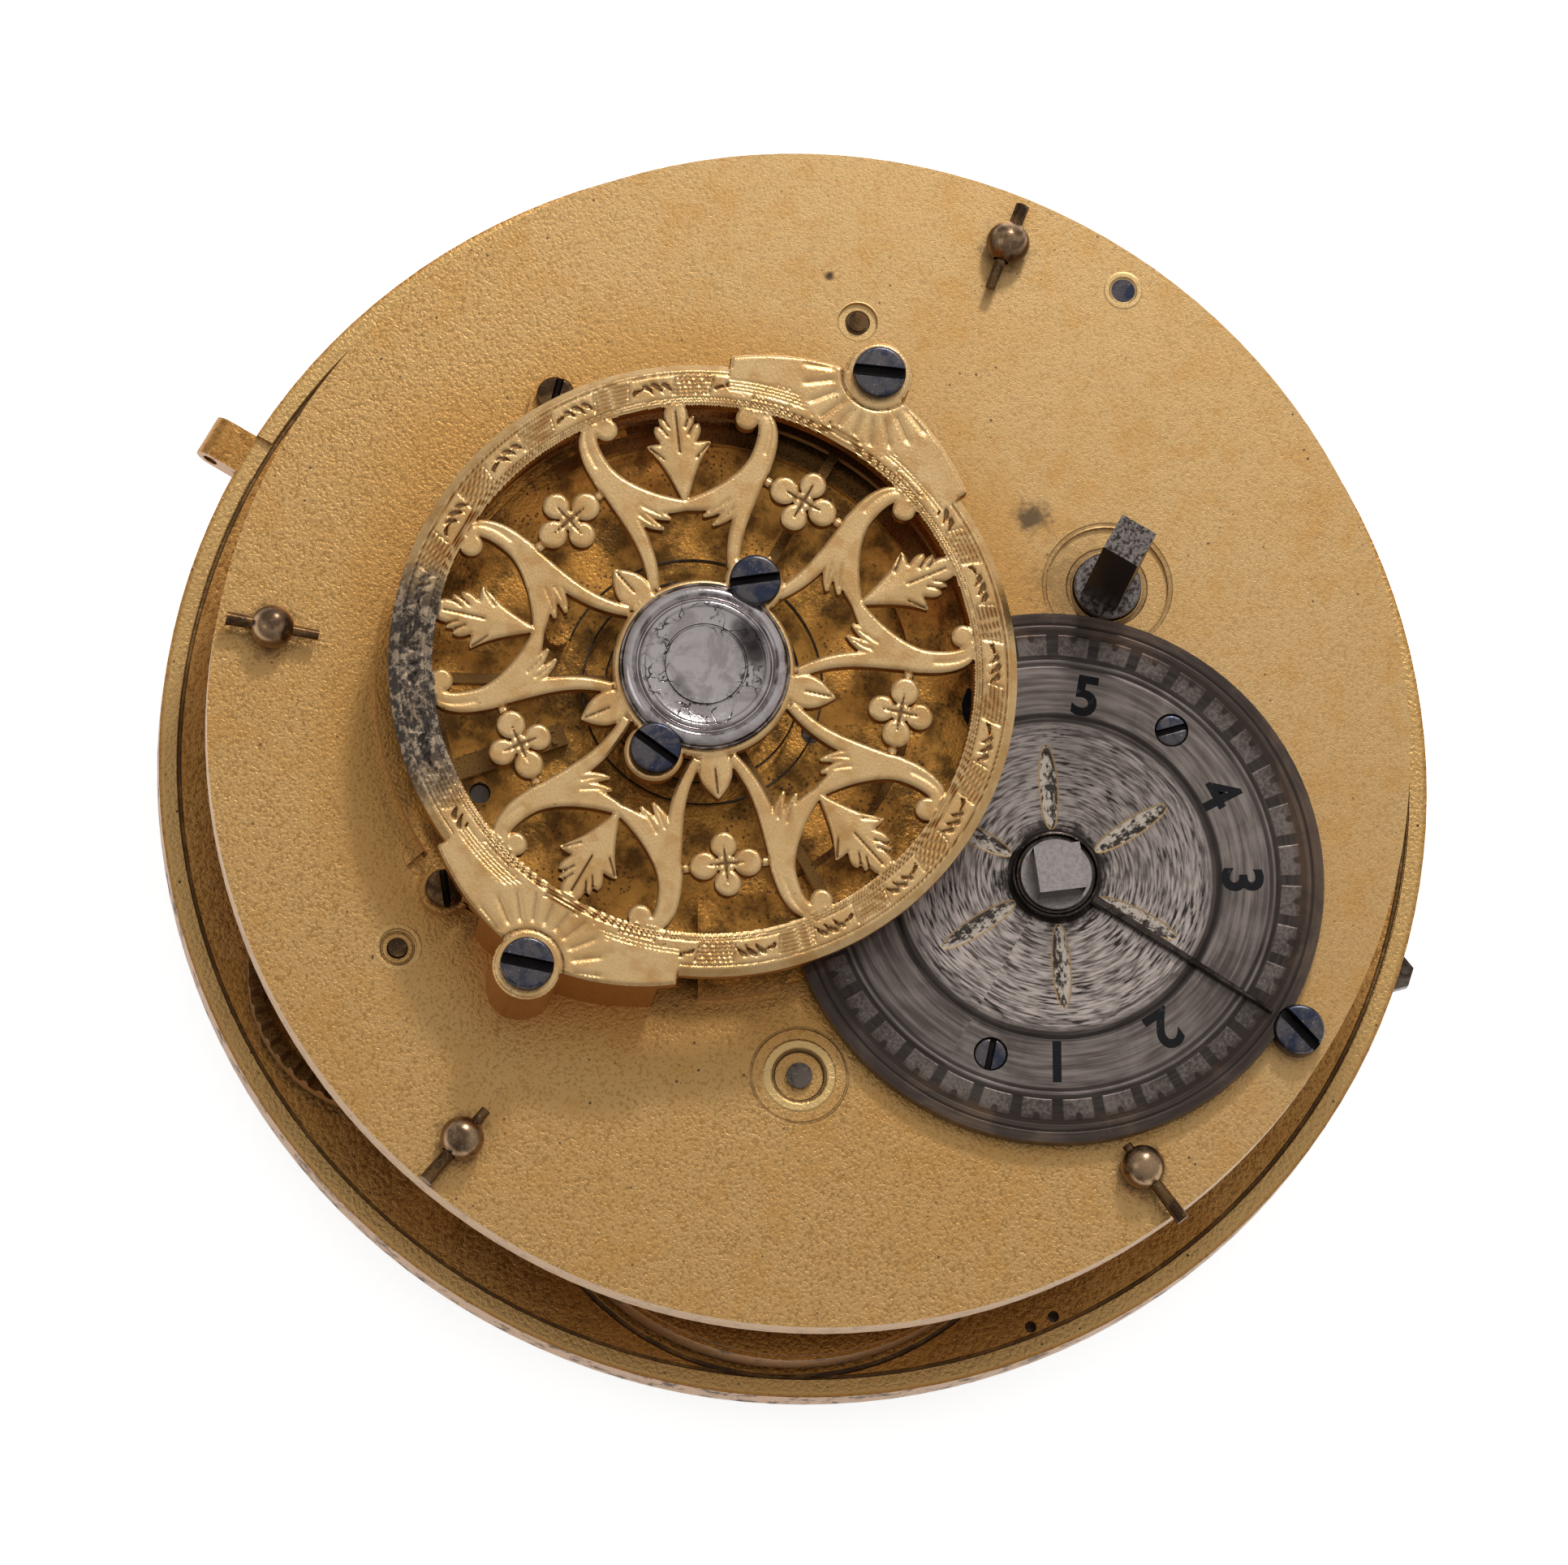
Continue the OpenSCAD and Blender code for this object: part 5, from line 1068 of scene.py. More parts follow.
@dataclass
class ScrewSet:
    """Slotted screws of one kind, with rounded heads."""

    name: str
    node: str
    places: Sequence[Point]
    turns: Sequence[float]
    seat: float
    head_r: float
    head_h: float
    shank: float
    slot: float = 0.18
    slot_deep: float = 0.5
    shank_r: float = 0.4
    round_off: float = 0.12
    crown: float = 0.06
    step: float = 0.03

    def groove(self, y: Array) -> Array:
        """1 in the slot and 0 beside it."""
        return 1 - smooth_step(self.slot / 2 - 0.012, self.slot / 2 + 0.02, np.abs(y))

    def head(self) -> Mesh:
        """Head with a slot along its x axis."""

        def rise(x: Array, y: Array, gap: Array) -> Array:
            """Height of the head's upper face."""
            out = np.clip(-gap, 0, self.round_off) / self.round_off
            fall = self.round_off * (1 - np.sqrt(1 - (1 - out) ** 2)) * 0.9
            crown = self.crown * self.head_h
            swell = crown * (1 - (np.hypot(x, y) / self.head_r) ** 2)
            slot = self.groove(y) * self.head_h * self.slot_deep
            return self.head_h - crown + swell - np.maximum(fall, slot)

        half = self.head_r + 2 * self.step
        return Sheet(
            lambda x, y: circle_gap(x, y, (0, 0), self.head_r), rise, 0.0, self.step, (-half, -half, half, half)
        ).build()

    def build(self, material: Material) -> bpy.types.Object:
        """Builds the set and puts it in place of its solids."""
        head = self.head()
        shank = Maker.lathe([(0.001, -self.shank), (self.shank_r, -self.shank), (self.shank_r, 0.01)], 32)
        parts = []
        for at, turn in zip(self.places, self.turns):
            parts.append(Maker.move(head, at, turn, self.seat))
            parts.append(Maker.move(shank, at, turn, self.seat))
        upper = np.arange(len(head[0])) < len(head[0]) // 2
        cut = np.concatenate([self.groove(head[0][:, 1]) * upper, np.zeros(len(shank[0]))])
        cuts = np.tile(cut, len(self.places))
        return Maker.piece(
            self.name, Maker.join(parts), material, "movement", "blued_steel", self.node, cuts, sharp=40
        )


@dataclass
class BridgeWork:
    """Pierced and carved balance bridge with its end cap and screws."""

    low: float = 7.35
    high: float = 7.85
    foot_z: float = 4.85
    rim_r: float = 9.7
    rim_w: float = 1.35
    hub_r: float = 2.82
    flower_r: float = 6.2
    screw_r: float = 10.93
    hole_r: float = 0.4
    pivot_r: float = 0.28
    cap_r: float = 2.65
    cap_screw_r: float = 3.1
    cap_boss_r: float = 0.92
    boss_r: float = 1.05
    ear_a: float = 25.0
    half_unit: float = 36.0
    half_x: float = 12.2
    half_y: float = 10.3
    step: float = 0.045
    foot_step: float = 0.08
    foot_half_y: float = 5.0
    foot_in_r: float = 9.3
    foot_a: Point = (-11, 22)
    bevel: float = 0.09
    cut_deep: float = 0.075
    piece_low: float = 0.03
    tie_low: float = 0.16
    edge_fall: float = 0.07
    edge_shade: float = 0.55
    mark_deep: float = 0.06
    borders: tuple[Point, ...] = ((0.07, 0.03), (0.13, 0.03), (0.19, 0.03), (0.77, 0.04))
    panels: int = 22
    panel_turn: float = 5.0
    panel_ends: Point = (0.04, 0.49)
    panel_lean: float = 0.14
    hatch_from: float = 0.24
    hatch_pitch: float = 0.094
    mid_v: float = 0.48
    curl_u: float = 0.76
    flutes: int = 12
    flute_w: float = 0.085
    curls: tuple[tuple[float, float, float, float, float], ...] = (
        (-0.5, 0.0, 48.0, 0.3, 0.08), (-0.2, 0.02, 48.0, 0.34, 0.08), (0.1, 0.0, 48.0, 0.3, 0.07),
        (0.5, -0.02, -20.0, 0.42, 0.06),
    )
    petals: tuple[tuple[Point, float], ...] = (
        ((0.6, 0), 0.41), ((-0.6, 0), 0.41), ((0, 0.68), 0.44), ((0, -0.68), 0.44), ((0, 0), 0.3),
    )
    bulb: tuple[Point, float] = ((7.8, 2.2), 0.36)
    tie: Point = (0.14, 1.55)
    veins: tuple[tuple[Point, Point], ...] = (
        ((6.9, 0.0), (8.2, 0.0)), ((6.7, 0.5), (7.1, 0.92)),
        ((7.45, 0.32), (7.74, 0.5)), ((7.7, 0.24), (7.98, 0.38)),
    )
    hub_vein: tuple[Point, Point] = ((3.2, 0), (4.0, 0))
    vein_w: float = 0.045
    leaf: Array = field(init=False)
    arms: list[Array] = field(init=False)
    arm_lines: list[Array] = field(init=False)
    hub_leaf: Array = field(init=False)

    @property
    def rim_in(self) -> float:
        """Inner radius of the rim."""
        return self.rim_r - self.rim_w

    def __post_init__(self) -> None:
        """Draws the outlines of one unit of the pattern, whose axis is x."""
        tip, notch, joint = (7.15, 1.02), (7.2, 0.55), (6.35, 2.45)
        half = np.concatenate([
            curve([(5.2, 0.02), (5.95, 0.32), (6.55, 0.5), tip]),
            curve([tip, (7.24, 0.8), (7.2, 0.65), notch])[1:],
            curve([notch, (7.45, 0.72), (7.6, 0.78), (7.78, 0.68)])[1:],
            np.array([(7.76, 0.52), (8.02, 0.56), (8.0, 0.38), (8.24, 0.36), (self.rim_in + 0.2, 0.2)]),
        ])
        self.leaf = np.concatenate([half * [1, -1], half[::-1]])
        ways = [
            ([(5.2, -0.1), (5.25, 1.2), (5.6, 2.0), joint], 0.32, 0.75, 0.3),
            ([(6.2, 2.35), (6.95, 2.85), (8.1, 3.1), (7.8, 2.2)], 0.75, 0.34, 0.05),
            ([(self.hub_r - 0.25, 1.25), (3.9, 1.2), (4.6, 1.6), (6.0, 2.3)], 0.34, 0.6, 0.0),
            ([(5.8, 1.95), (5.35, 1.5), (5.0, 1.0), (4.8, 0.5)], 0.6, 0.1, 0.15),
            ([(5.65, 1.95), (5.05, 1.6), (4.7, 1.2), (4.5, 0.75)], 0.5, 0.1, 0.15),
        ]
        self.arms = [ribbon(*w) for w in ways]
        self.arm_lines = [curve(w[0]) for w in ways]
        leaf = curve([(self.hub_r - 0.3, 0.3), (3.2, 0.75), (3.7, 0.5), (4.15, 0.02)])
        self.hub_leaf = np.concatenate([leaf * [1, -1], leaf[::-1]])

    def fold(self, x: Array, y: Array) -> tuple[Array, Array]:
        """Folds the plane into half a unit of the pattern, whose five axes start at half a unit."""
        r, a = np.hypot(x, y), np.degrees(np.arctan2(y, x))
        a = np.radians(np.abs(a % (2 * self.half_unit) - self.half_unit))
        return r * np.cos(a), r * np.sin(a)

    def near_flower(self, x: Array, y: Array) -> tuple[Array, Array]:
        """Folded place seen from the flower: outwards and sideways."""
        out, side = rotated(x, y, self.half_unit)
        return out - self.flower_r, side

    def pieces(self, x: Array, y: Array) -> dict[str, Array]:
        """Distances from the parts of the pattern at folded places."""
        fx, fy = self.near_flower(x, y)
        found = {
            "leaf": outline_gap(x, y, self.leaf),
            "hub_leaf": outline_gap(*rotated(x, y, self.half_unit), self.hub_leaf),
        }
        for k, arm in enumerate(self.arms):
            found[f"arm{k}"] = outline_gap(x, y, arm)
        found["bulb"] = circle_gap(x, y, *self.bulb)
        for k, petal in enumerate(self.petals):
            found[f"petal{k}"] = circle_gap(fx, fy, *petal)
        found["tie"] = np.maximum(np.abs(fx) - self.tie[0], np.abs(fy) - self.tie[1])
        return found

    @staticmethod
    def off_side(x: Array, y: Array, side: int) -> Array:
        """Direction in degrees, from the positive or the negative end of the bridge."""
        return (np.degrees(np.arctan2(y, x)) - (0 if side > 0 else 180) + 180) % 360 - 180

    def ear_gap(self, x: Array, y: Array, in_r: float, a0: float, a1: float) -> Array:
        """Distance from an ear of the rim on either side, between two directions."""
        r = np.hypot(x, y)
        gaps = []
        for side in (1, -1):
            a = self.off_side(x, y, side)
            out = self.rim_r + 0.3 + 0.7 * (1 - np.clip(np.abs(a) / self.ear_a, 0, 1.2) ** 1.5)
            turn = np.maximum(a0 - a, a - a1) * np.pi / 180 * r
            sector = np.maximum(np.maximum(r - out, in_r - r), turn)
            boss = circle_gap(x, y, (self.screw_r * side, 0), self.boss_r)
            gaps.append(np.minimum(sector, boss))
        return np.minimum(*gaps)

    def ears(self, x: Array, y: Array) -> Array:
        """Distance from the two ears that carry the screws."""
        return self.ear_gap(x, y, self.rim_in + 0.3, -self.ear_a, self.ear_a)

    def rim_gap(self, x: Array, y: Array) -> Array:
        """Distance from the rim with its ears, and from the hub."""
        r = np.hypot(x, y)
        rim = np.minimum(np.maximum(r - self.rim_r, self.rim_in - r), self.ears(x, y))
        hub = np.minimum(r - self.hub_r, circle_gap(np.abs(x), y, (self.cap_screw_r, 0), self.cap_boss_r))
        return np.minimum(rim, hub)

    def distance(self, x: Array, y: Array) -> Array:
        """Distance from the whole outline of the bridge."""
        gap = self.rim_gap(x, y)
        near = np.hypot(x, y) < self.rim_in + 0.4
        fx, fy = self.fold(x[near], y[near])
        found = self.pieces(fx, fy)
        gap[near] = np.minimum(gap[near], np.min(list(found.values()), axis=0))
        gap = np.maximum(gap, -circle_gap(x, y, (0, 0), self.pivot_r))
        return self.drilled(x, y, gap)

    def drilled(self, x: Array, y: Array, gap: Array) -> Array:
        """Distance from an outline, less the holes of the two screws."""
        return np.maximum(gap, -circle_gap(np.abs(x), y, (self.screw_r, 0), self.hole_r))

    def rim_cut(self, x: Array, y: Array) -> Array:
        """Engraving of the rim: border lines, hatched panels, leaf curls and the fans at the feet."""
        r, a = np.hypot(x, y), np.degrees(np.arctan2(y, x))
        v = (r - self.rim_in) / self.rim_w
        cut = np.zeros(x.shape)
        for border, wide in self.borders:
            cut = np.maximum(cut, 0.8 * soft_cut((v - border) * self.rim_w, wide))
        # hatched panels
        span = 360 / self.panels
        u = (a + self.panel_turn) % span / span
        lean = u + self.panel_lean * (v - self.mid_v)
        start, end = self.panel_ends
        panel = between(lean, start, start + 0.02, end - 0.02, end)
        window = between(v, self.hatch_from, 0.27, 0.68, 0.71)
        wave = np.cos(2 * np.pi * (v - self.hatch_from) / self.hatch_pitch)
        cut = np.maximum(cut, 0.6 * smooth_step(0.25, 0.8, 0.5 - 0.5 * wave) * panel * window)
        arc = span * np.pi / 180 * r
        for side in self.panel_ends:
            cut = np.maximum(cut, 0.7 * soft_cut((lean - side) * arc, 0.04) * window)
        # leaf curls between the panels
        along, across = (u - self.curl_u) * arc, (v - self.mid_v) * self.rim_w
        for at, off, turn, long, wide in self.curls:
            p, q = rotated(along - at, across - off, turn)
            slim = wide * np.clip(1.1 + p / long, 0.25, 2.0)
            cut = np.maximum(cut, 1 - smooth_step(0.55, 1.0, np.hypot(p / long, (q + 0.9 * p * p) / slim)))
        # fans at the feet
        for side in (-1, 1):
            dx = x - side * self.screw_r
            far, way = np.hypot(dx, y), np.arctan2(y, -side * dx)
            turn = way * self.flutes / np.pi
            flute = soft_cut((turn - np.floor(turn) - 0.5) * np.pi / self.flutes * far, self.flute_w)
            fade = between(far, 1.28, 1.5, 2.2, 2.5) * (np.abs(way) < 1.5)
            ear = (np.abs(self.off_side(x, y, side)) < self.ear_a) & (v > 0.36)
            ring = 0.8 * soft_cut(far - 1.12, 0.05)
            rows = 0.35 * smooth_step(0.3, 0.8, 0.5 + 0.5 * np.cos(2 * np.pi * r / 0.11))
            rows = rows * smooth_step(2.4, 2.7, far) * (v < 0.62 + 0.12 * np.sin(9 * way))
            cut = np.where(ear, np.maximum(np.maximum(0.6 * flute * fade, ring), rows), cut)
        return np.clip(cut, 0, 1)

    def petal_mark(self, ox: Array, oy: Array) -> Array:
        """Star of four tapering strokes in the middle of a flower."""
        star = soft_cut(np.hypot(ox, oy), 0.08)
        for along, across in ((ox, oy), (oy, ox)):
            half = 0.1 * np.clip(1 - np.abs(along) / 0.66, 0.1, 1)
            star = np.maximum(star, soft_cut(across, half) * (np.abs(along) < 0.6))
        return star

    def leaf_mark(self, x: Array, y: Array) -> Array:
        """Strokes on a leaf that stands in an arch: a vein and cuts at its edges."""
        return np.max([soft_cut(line_gap(x, y, np.array(vein)), self.vein_w) for vein in self.veins], axis=0)

    def carve(self, x: Array, y: Array, gap: Array) -> tuple[Array, Array]:
        """Height of the upper face, and the depth of its carving with painted shade along the edges of the
        pierced pieces.

        Args:
            x: Places along the line of the two screws.
            y: Places across that line.
            gap: Distance from the outline at those places.

        Returns:
            Heights, and cuts from 0 to 1 that also carry that painted shade.
        """
        r = np.hypot(x, y)
        edge = self.bevel * (1 - np.clip(-gap, 0, self.bevel) / self.bevel)
        rim = self.rim_gap(x, y) < 0.0
        cut = np.where(r > self.hub_r + 1.5, self.rim_cut(x, y), 0)
        v = (r - self.rim_in) / self.rim_w
        slope = np.where(self.ears(x, y) < 0.0, 0.0, 0.2 * np.clip((v - 0.8) / 0.2, 0, 1))
        z = self.high - np.maximum(edge, slope) - self.cut_deep * cut
        inner = (r < self.rim_in + 0.4) & ~(rim & (r < self.hub_r + 0.1))
        fx, fy = self.fold(x[inner], y[inner])
        found = self.pieces(fx, fy)
        arms = [found.pop(name) for name in list(found) if name.startswith("arm")]
        found["arms"] = np.min([*arms, found.pop("bulb")], axis=0)
        level = np.full(fx.shape, -FAR)
        shade = np.zeros(fx.shape)
        for name, d in found.items():
            inside = np.clip(-d, 0, self.bevel) / self.bevel
            lower, mark = self.piece_low, np.zeros(fx.shape)
            if name == "leaf":
                mark = self.leaf_mark(fx, fy)
                lower = 0.02 + 0.04 * np.abs(fy)
            elif name == "arms":
                mark = 0.4 * soft_cut(line_gap(fx, fy, self.arm_lines[1][2:-4] + [0.1, 0.08]), 0.06)
                for line in self.arm_lines[3:]:
                    mark = np.maximum(mark, 0.6 * soft_cut(line_gap(fx, fy, line[6:-2]), 0.04))
            elif name.startswith("petal"):
                mark = self.petal_mark(*self.near_flower(fx, fy))
            elif name == "tie":
                lower = self.tie_low
            elif name == "hub_leaf":
                vein = line_gap(*rotated(fx, fy, self.half_unit), np.array(self.hub_vein))
                mark = soft_cut(vein, self.vein_w)
            flat = self.high - lower - self.edge_fall * (1 - inside) - self.mark_deep * mark
            here = np.where(d < 0.02, flat, -FAR)
            shade = np.where(here > level, np.maximum(mark, (1 - inside) * self.edge_shade), shade)
            level = np.maximum(level, here)
        on_rim = rim[inner]
        z[inner] = np.where(on_rim, z[inner], np.maximum(level, self.low + 0.1))
        cut[inner] = np.where(on_rim, cut[inner], shade)
        return np.maximum(z, self.low + 0.05), np.clip(cut, 0, 1)

    def build(self, shop: Shop) -> None:
        """Builds the bridge, its cap and its screws."""
        top = Sheet(
            self.distance, lambda x, y, gap: self.carve(x, y, gap)[0], self.low, self.step,
            (-self.half_x, -self.half_y, self.half_x, self.half_y),
        ).build()
        feet = Sheet(
            lambda x, y: self.drilled(x, y, self.ear_gap(x, y, self.foot_in_r, *self.foot_a)),
            lambda x, y, gap: np.full(x.shape, self.low + 0.02), self.foot_z, self.foot_step,
            (-self.half_x, -self.foot_half_y, self.half_x, self.foot_half_y),
        ).build()
        points, faces = Maker.join([top, feet])
        half = len(top[0]) // 2
        flat = points[:half]
        cut = np.zeros(len(points))
        cut[:half] = self.carve(flat[:, 0], flat[:, 1], self.distance(flat[:, 0], flat[:, 1]))[1]
        points[:, :2] += np.array(BALANCE)
        Maker.piece(
            "carved_bridge", (points, faces), shop.carving, "movement", "gilt_bridge", "balance_bridge", cut, 42
        )
        self.build_cap(shop)
        x, y = BALANCE
        ScrewSet(
            "bridge_screw_pair", "bridge_screws", [(x - self.screw_r, y), (x + self.screw_r, y)],
            (-71.0, -65.0), seat=self.high, head_r=0.82, head_h=0.4, shank=4.05, slot=0.3,
        ).build(shop.blue)
        ScrewSet(
            "cap_screw_pair", "cap_screws", [(x - self.cap_screw_r, y), (x + self.cap_screw_r, y)],
            (-96.0, -51.0), seat=8.0525, head_r=0.79, head_h=0.4, shank=0.7, slot=0.22,
        ).build(shop.blue)

    def build_cap(self, shop: Shop) -> None:
        """Builds the moulded steel end cap with its oil sink."""
        z, r = self.high, self.cap_r
        profile = [
            (0.001, z), (r - 0.02, z), (r, z + 0.03), (r, z + 0.14), (r - 0.03, z + 0.2), (r - 0.08, z + 0.2),
            (r - 0.1, z + 0.25), (r - 0.17, z + 0.33), (r - 0.27, z + 0.39), (r - 0.37, z + 0.41),
            (r - 0.46, z + 0.39), (r - 0.52, z + 0.34), (r - 0.54, z + 0.27), (r - 0.58, z + 0.27),
            (r - 0.6, z + 0.34), (r - 0.65, z + 0.4), (r - 0.71, z + 0.42), (r - 0.77, z + 0.4),
            (r - 0.81, z + 0.35), (r - 0.84, z + 0.33), (1.31, z + 0.34), (1.29, z + 0.29), (1.25, z + 0.29),
            (1.23, z + 0.34), (0.9, z + 0.31), (0.5, z + 0.28), (0.2, z + 0.265), (0.001, z + 0.26),
        ]
        part = Maker.move(Maker.lathe(profile, 128), BALANCE)
        Maker.piece("moulded_cap", part, shop.cap, "movement", "polished_steel", "bridge_cap", sharp=50)


class Lettering:
    """Plain numbers as thin meshes."""

    @staticmethod
    def number(text: str, size: float, thick: float, bold: float = 0.0) -> Mesh:
        """Mesh of a number, centred on the origin of the xy plane.

        Args:
            text: The number.
            size: Height of the characters' body in millimetres.
            thick: Thickness in millimetres.
            bold: Width in millimetres that the strokes gain on either side.

        Returns:
            Points and faces.
        """
        data = bpy.data.curves.new("number_" + text, "FONT")
        data.body = text
        data.size = size
        data.extrude = thick / 2
        data.offset = bold
        data.resolution_u = 4
        data.align_x, data.align_y = "CENTER", "CENTER"
        holder = added("number_" + text, data)
        shaped = holder.evaluated_get(bpy.context.evaluated_depsgraph_get())
        mesh = bpy.data.meshes.new_from_object(shaped)
        points = np.array([v.co[:] for v in mesh.vertices], float).reshape(-1, 3)
        faces: Faces = [list(p.vertices) for p in mesh.polygons]
        bpy.data.objects.remove(holder)
        bpy.data.curves.remove(data)
        bpy.data.meshes.remove(mesh)
        middle = (points.min(0) + points.max(0)) / 2
        return points - middle, faces


@dataclass
class RegulatorWork:
    """Regulator disc with its numbers, the arbor, the pointer, the rack, the slide and their screws."""

    top_z: float = 5.4
    number_r: float = 5.85
    number_h: float = 1.75
    number_bold: float = 0.05
    number_ways: tuple[int, ...] = (-150, -115, -60, -32, 20, 55)
    proud: float = 0.02
    screw_r: float = 6.0
    screw_ways: Point = (-8, 190)
    edge_r: float = 8.9
    edge_way: float = -92
    hub_r: float = 1.37
    bore_r: float = 0.7
    pointer_l: float = 7.9
    pointer_a: float = -92.0
    pointer_w: Point = (0.16, 0.06)
    pointer_flank: float = 0.09
    pointer_h: float = 0.15
    square_a: float = 38.0
    slide_r: float = 9.95
    slide_screw_r: float = 10.2
    slide_ways: Point = (55.5, 160)
    ear_r: float = 0.9

    def build(self, shop: Shop, nodes: Nodes) -> None:
        """Dresses the disc and builds its numbers, its screws and the work about it."""
        Maker.dress(nodes, shop.silver, "regulator_disc")
        parts = []
        for number, a in enumerate(self.number_ways, 1):
            part = Lettering.number(str(number), self.number_h, self.proud, self.number_bold)
            parts.append(Maker.move(part, polar(REGULATOR, self.number_r, a), a - 90, self.top_z))
        Maker.piece("disc_numbers", Maker.join(parts), shop.wax, "movement", "silvered_disc")
        ScrewSet(
            "disc_screw_pair", "disc_screws", [polar(REGULATOR, self.screw_r, a) for a in self.screw_ways],
            (-44.0, 18.0), seat=5.15, head_r=0.52, head_h=0.27, shank=1.3, slot=0.17,
        ).build(shop.blue)
        ScrewSet(
            "disc_edge_screw", "edge_screw", [polar(REGULATOR, self.edge_r, self.edge_way)], (-107.0,),
            seat=4.85, head_r=0.78, head_h=0.75, shank=1.05, slot=0.28, slot_deep=0.3,
        ).build(shop.blue)
        places = [polar(BALANCE, self.slide_screw_r, a) for a in self.slide_ways]
        ScrewSet(
            "slide_screw_pair", "slide_screws", places, (15.0, 38.0),
            seat=5.32, head_r=0.6, head_h=0.4, shank=1.5, slot=0.16,
        ).build(shop.brown)
        self.build_pointer(shop)
        # the rack takes the gilding painted darker as shade
        Maker.dress(nodes, shop.balance_gilt, "regulator_rack")
        self.build_arbor(shop, nodes["regulator_arbor"])
        Maker.dress(nodes, shop.slide_gilt, "rack_cover", "hairspring_stud")
        self.build_slide(shop, nodes["regulator_slide"], places)

    def build_slide(self, shop: Shop, solid: bpy.types.Object, screws: Sequence[Point]) -> None:
        """Builds the slide, drawn in under the rim of the bridge except at its screws."""
        points, faces = Maker.copied(solid)
        ears = [circle_gap(points[:, 0], points[:, 1], at, self.ear_r) for at in screws]
        arm = points[:, :2] - BALANCE
        far = np.linalg.norm(arm, axis=1)
        pull = (np.min(ears, axis=0) > 0) & (far > self.slide_r)
        points[pull, :2] = BALANCE + arm[pull] * (self.slide_r / far[pull])[:, None]
        Maker.piece(
            "trimmed_slide", (points, faces), shop.slide_gilt, "movement", "gilt_plate", "regulator_slide",
            sharp=SOLID_SHARP,
        )

    def build_arbor(self, shop: Shop, solid: bpy.types.Object) -> None:
        """Builds the arbor with its square turned as it stands in the watch."""
        points, faces = Maker.copied(solid)
        square = points[:, 2] > self.top_z - 0.01
        points[square], _ = Maker.move((points[square] - [*REGULATOR, 0.0], []), REGULATOR, self.square_a)
        Maker.piece(
            "squared_arbor", (points, faces), shop.hub, "regulator", "polished_steel", "regulator_arbor",
            sharp=SOLID_SHARP,
        )

    def build_pointer(self, shop: Shop) -> None:
        """Builds the pointer, a slim bar with a turned hub, in place of its solid."""
        low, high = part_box("regulator_pointer")
        z0, z1 = low.z / MM, high.z / MM
        hub = Maker.lathe([
            (self.bore_r, z0), (self.hub_r, z0), (self.hub_r, z1 - 0.12), (1.34, z1 - 0.07), (1.29, z1 - 0.05),
            (1.25, z1 - 0.08), (1.22, z1 - 0.14), (1.15, z1 - 0.14), (1.13, z1 - 0.03), (1.1, z1),
            (self.bore_r, z1 - 0.01), (self.bore_r, z0),
        ])
        flank, top = self.pointer_flank, self.pointer_h
        section = [(-1.0, 0.0), (1.0, 0.0), (1.0, flank), (0.55, top), (-0.55, top), (-1.0, flank)]
        ends = [
            np.array([(along, side * wide, z0 + up) for side, up in section])
            for along, wide in zip((1.2, self.pointer_l), self.pointer_w)
        ]
        part = Maker.move(Maker.join([hub, Maker.skin(ends)]), REGULATOR, self.pointer_a)
        Maker.piece(
            "slim_pointer", part, shop.pointer, "regulator", "polished_steel", "regulator_pointer", sharp=25
        )


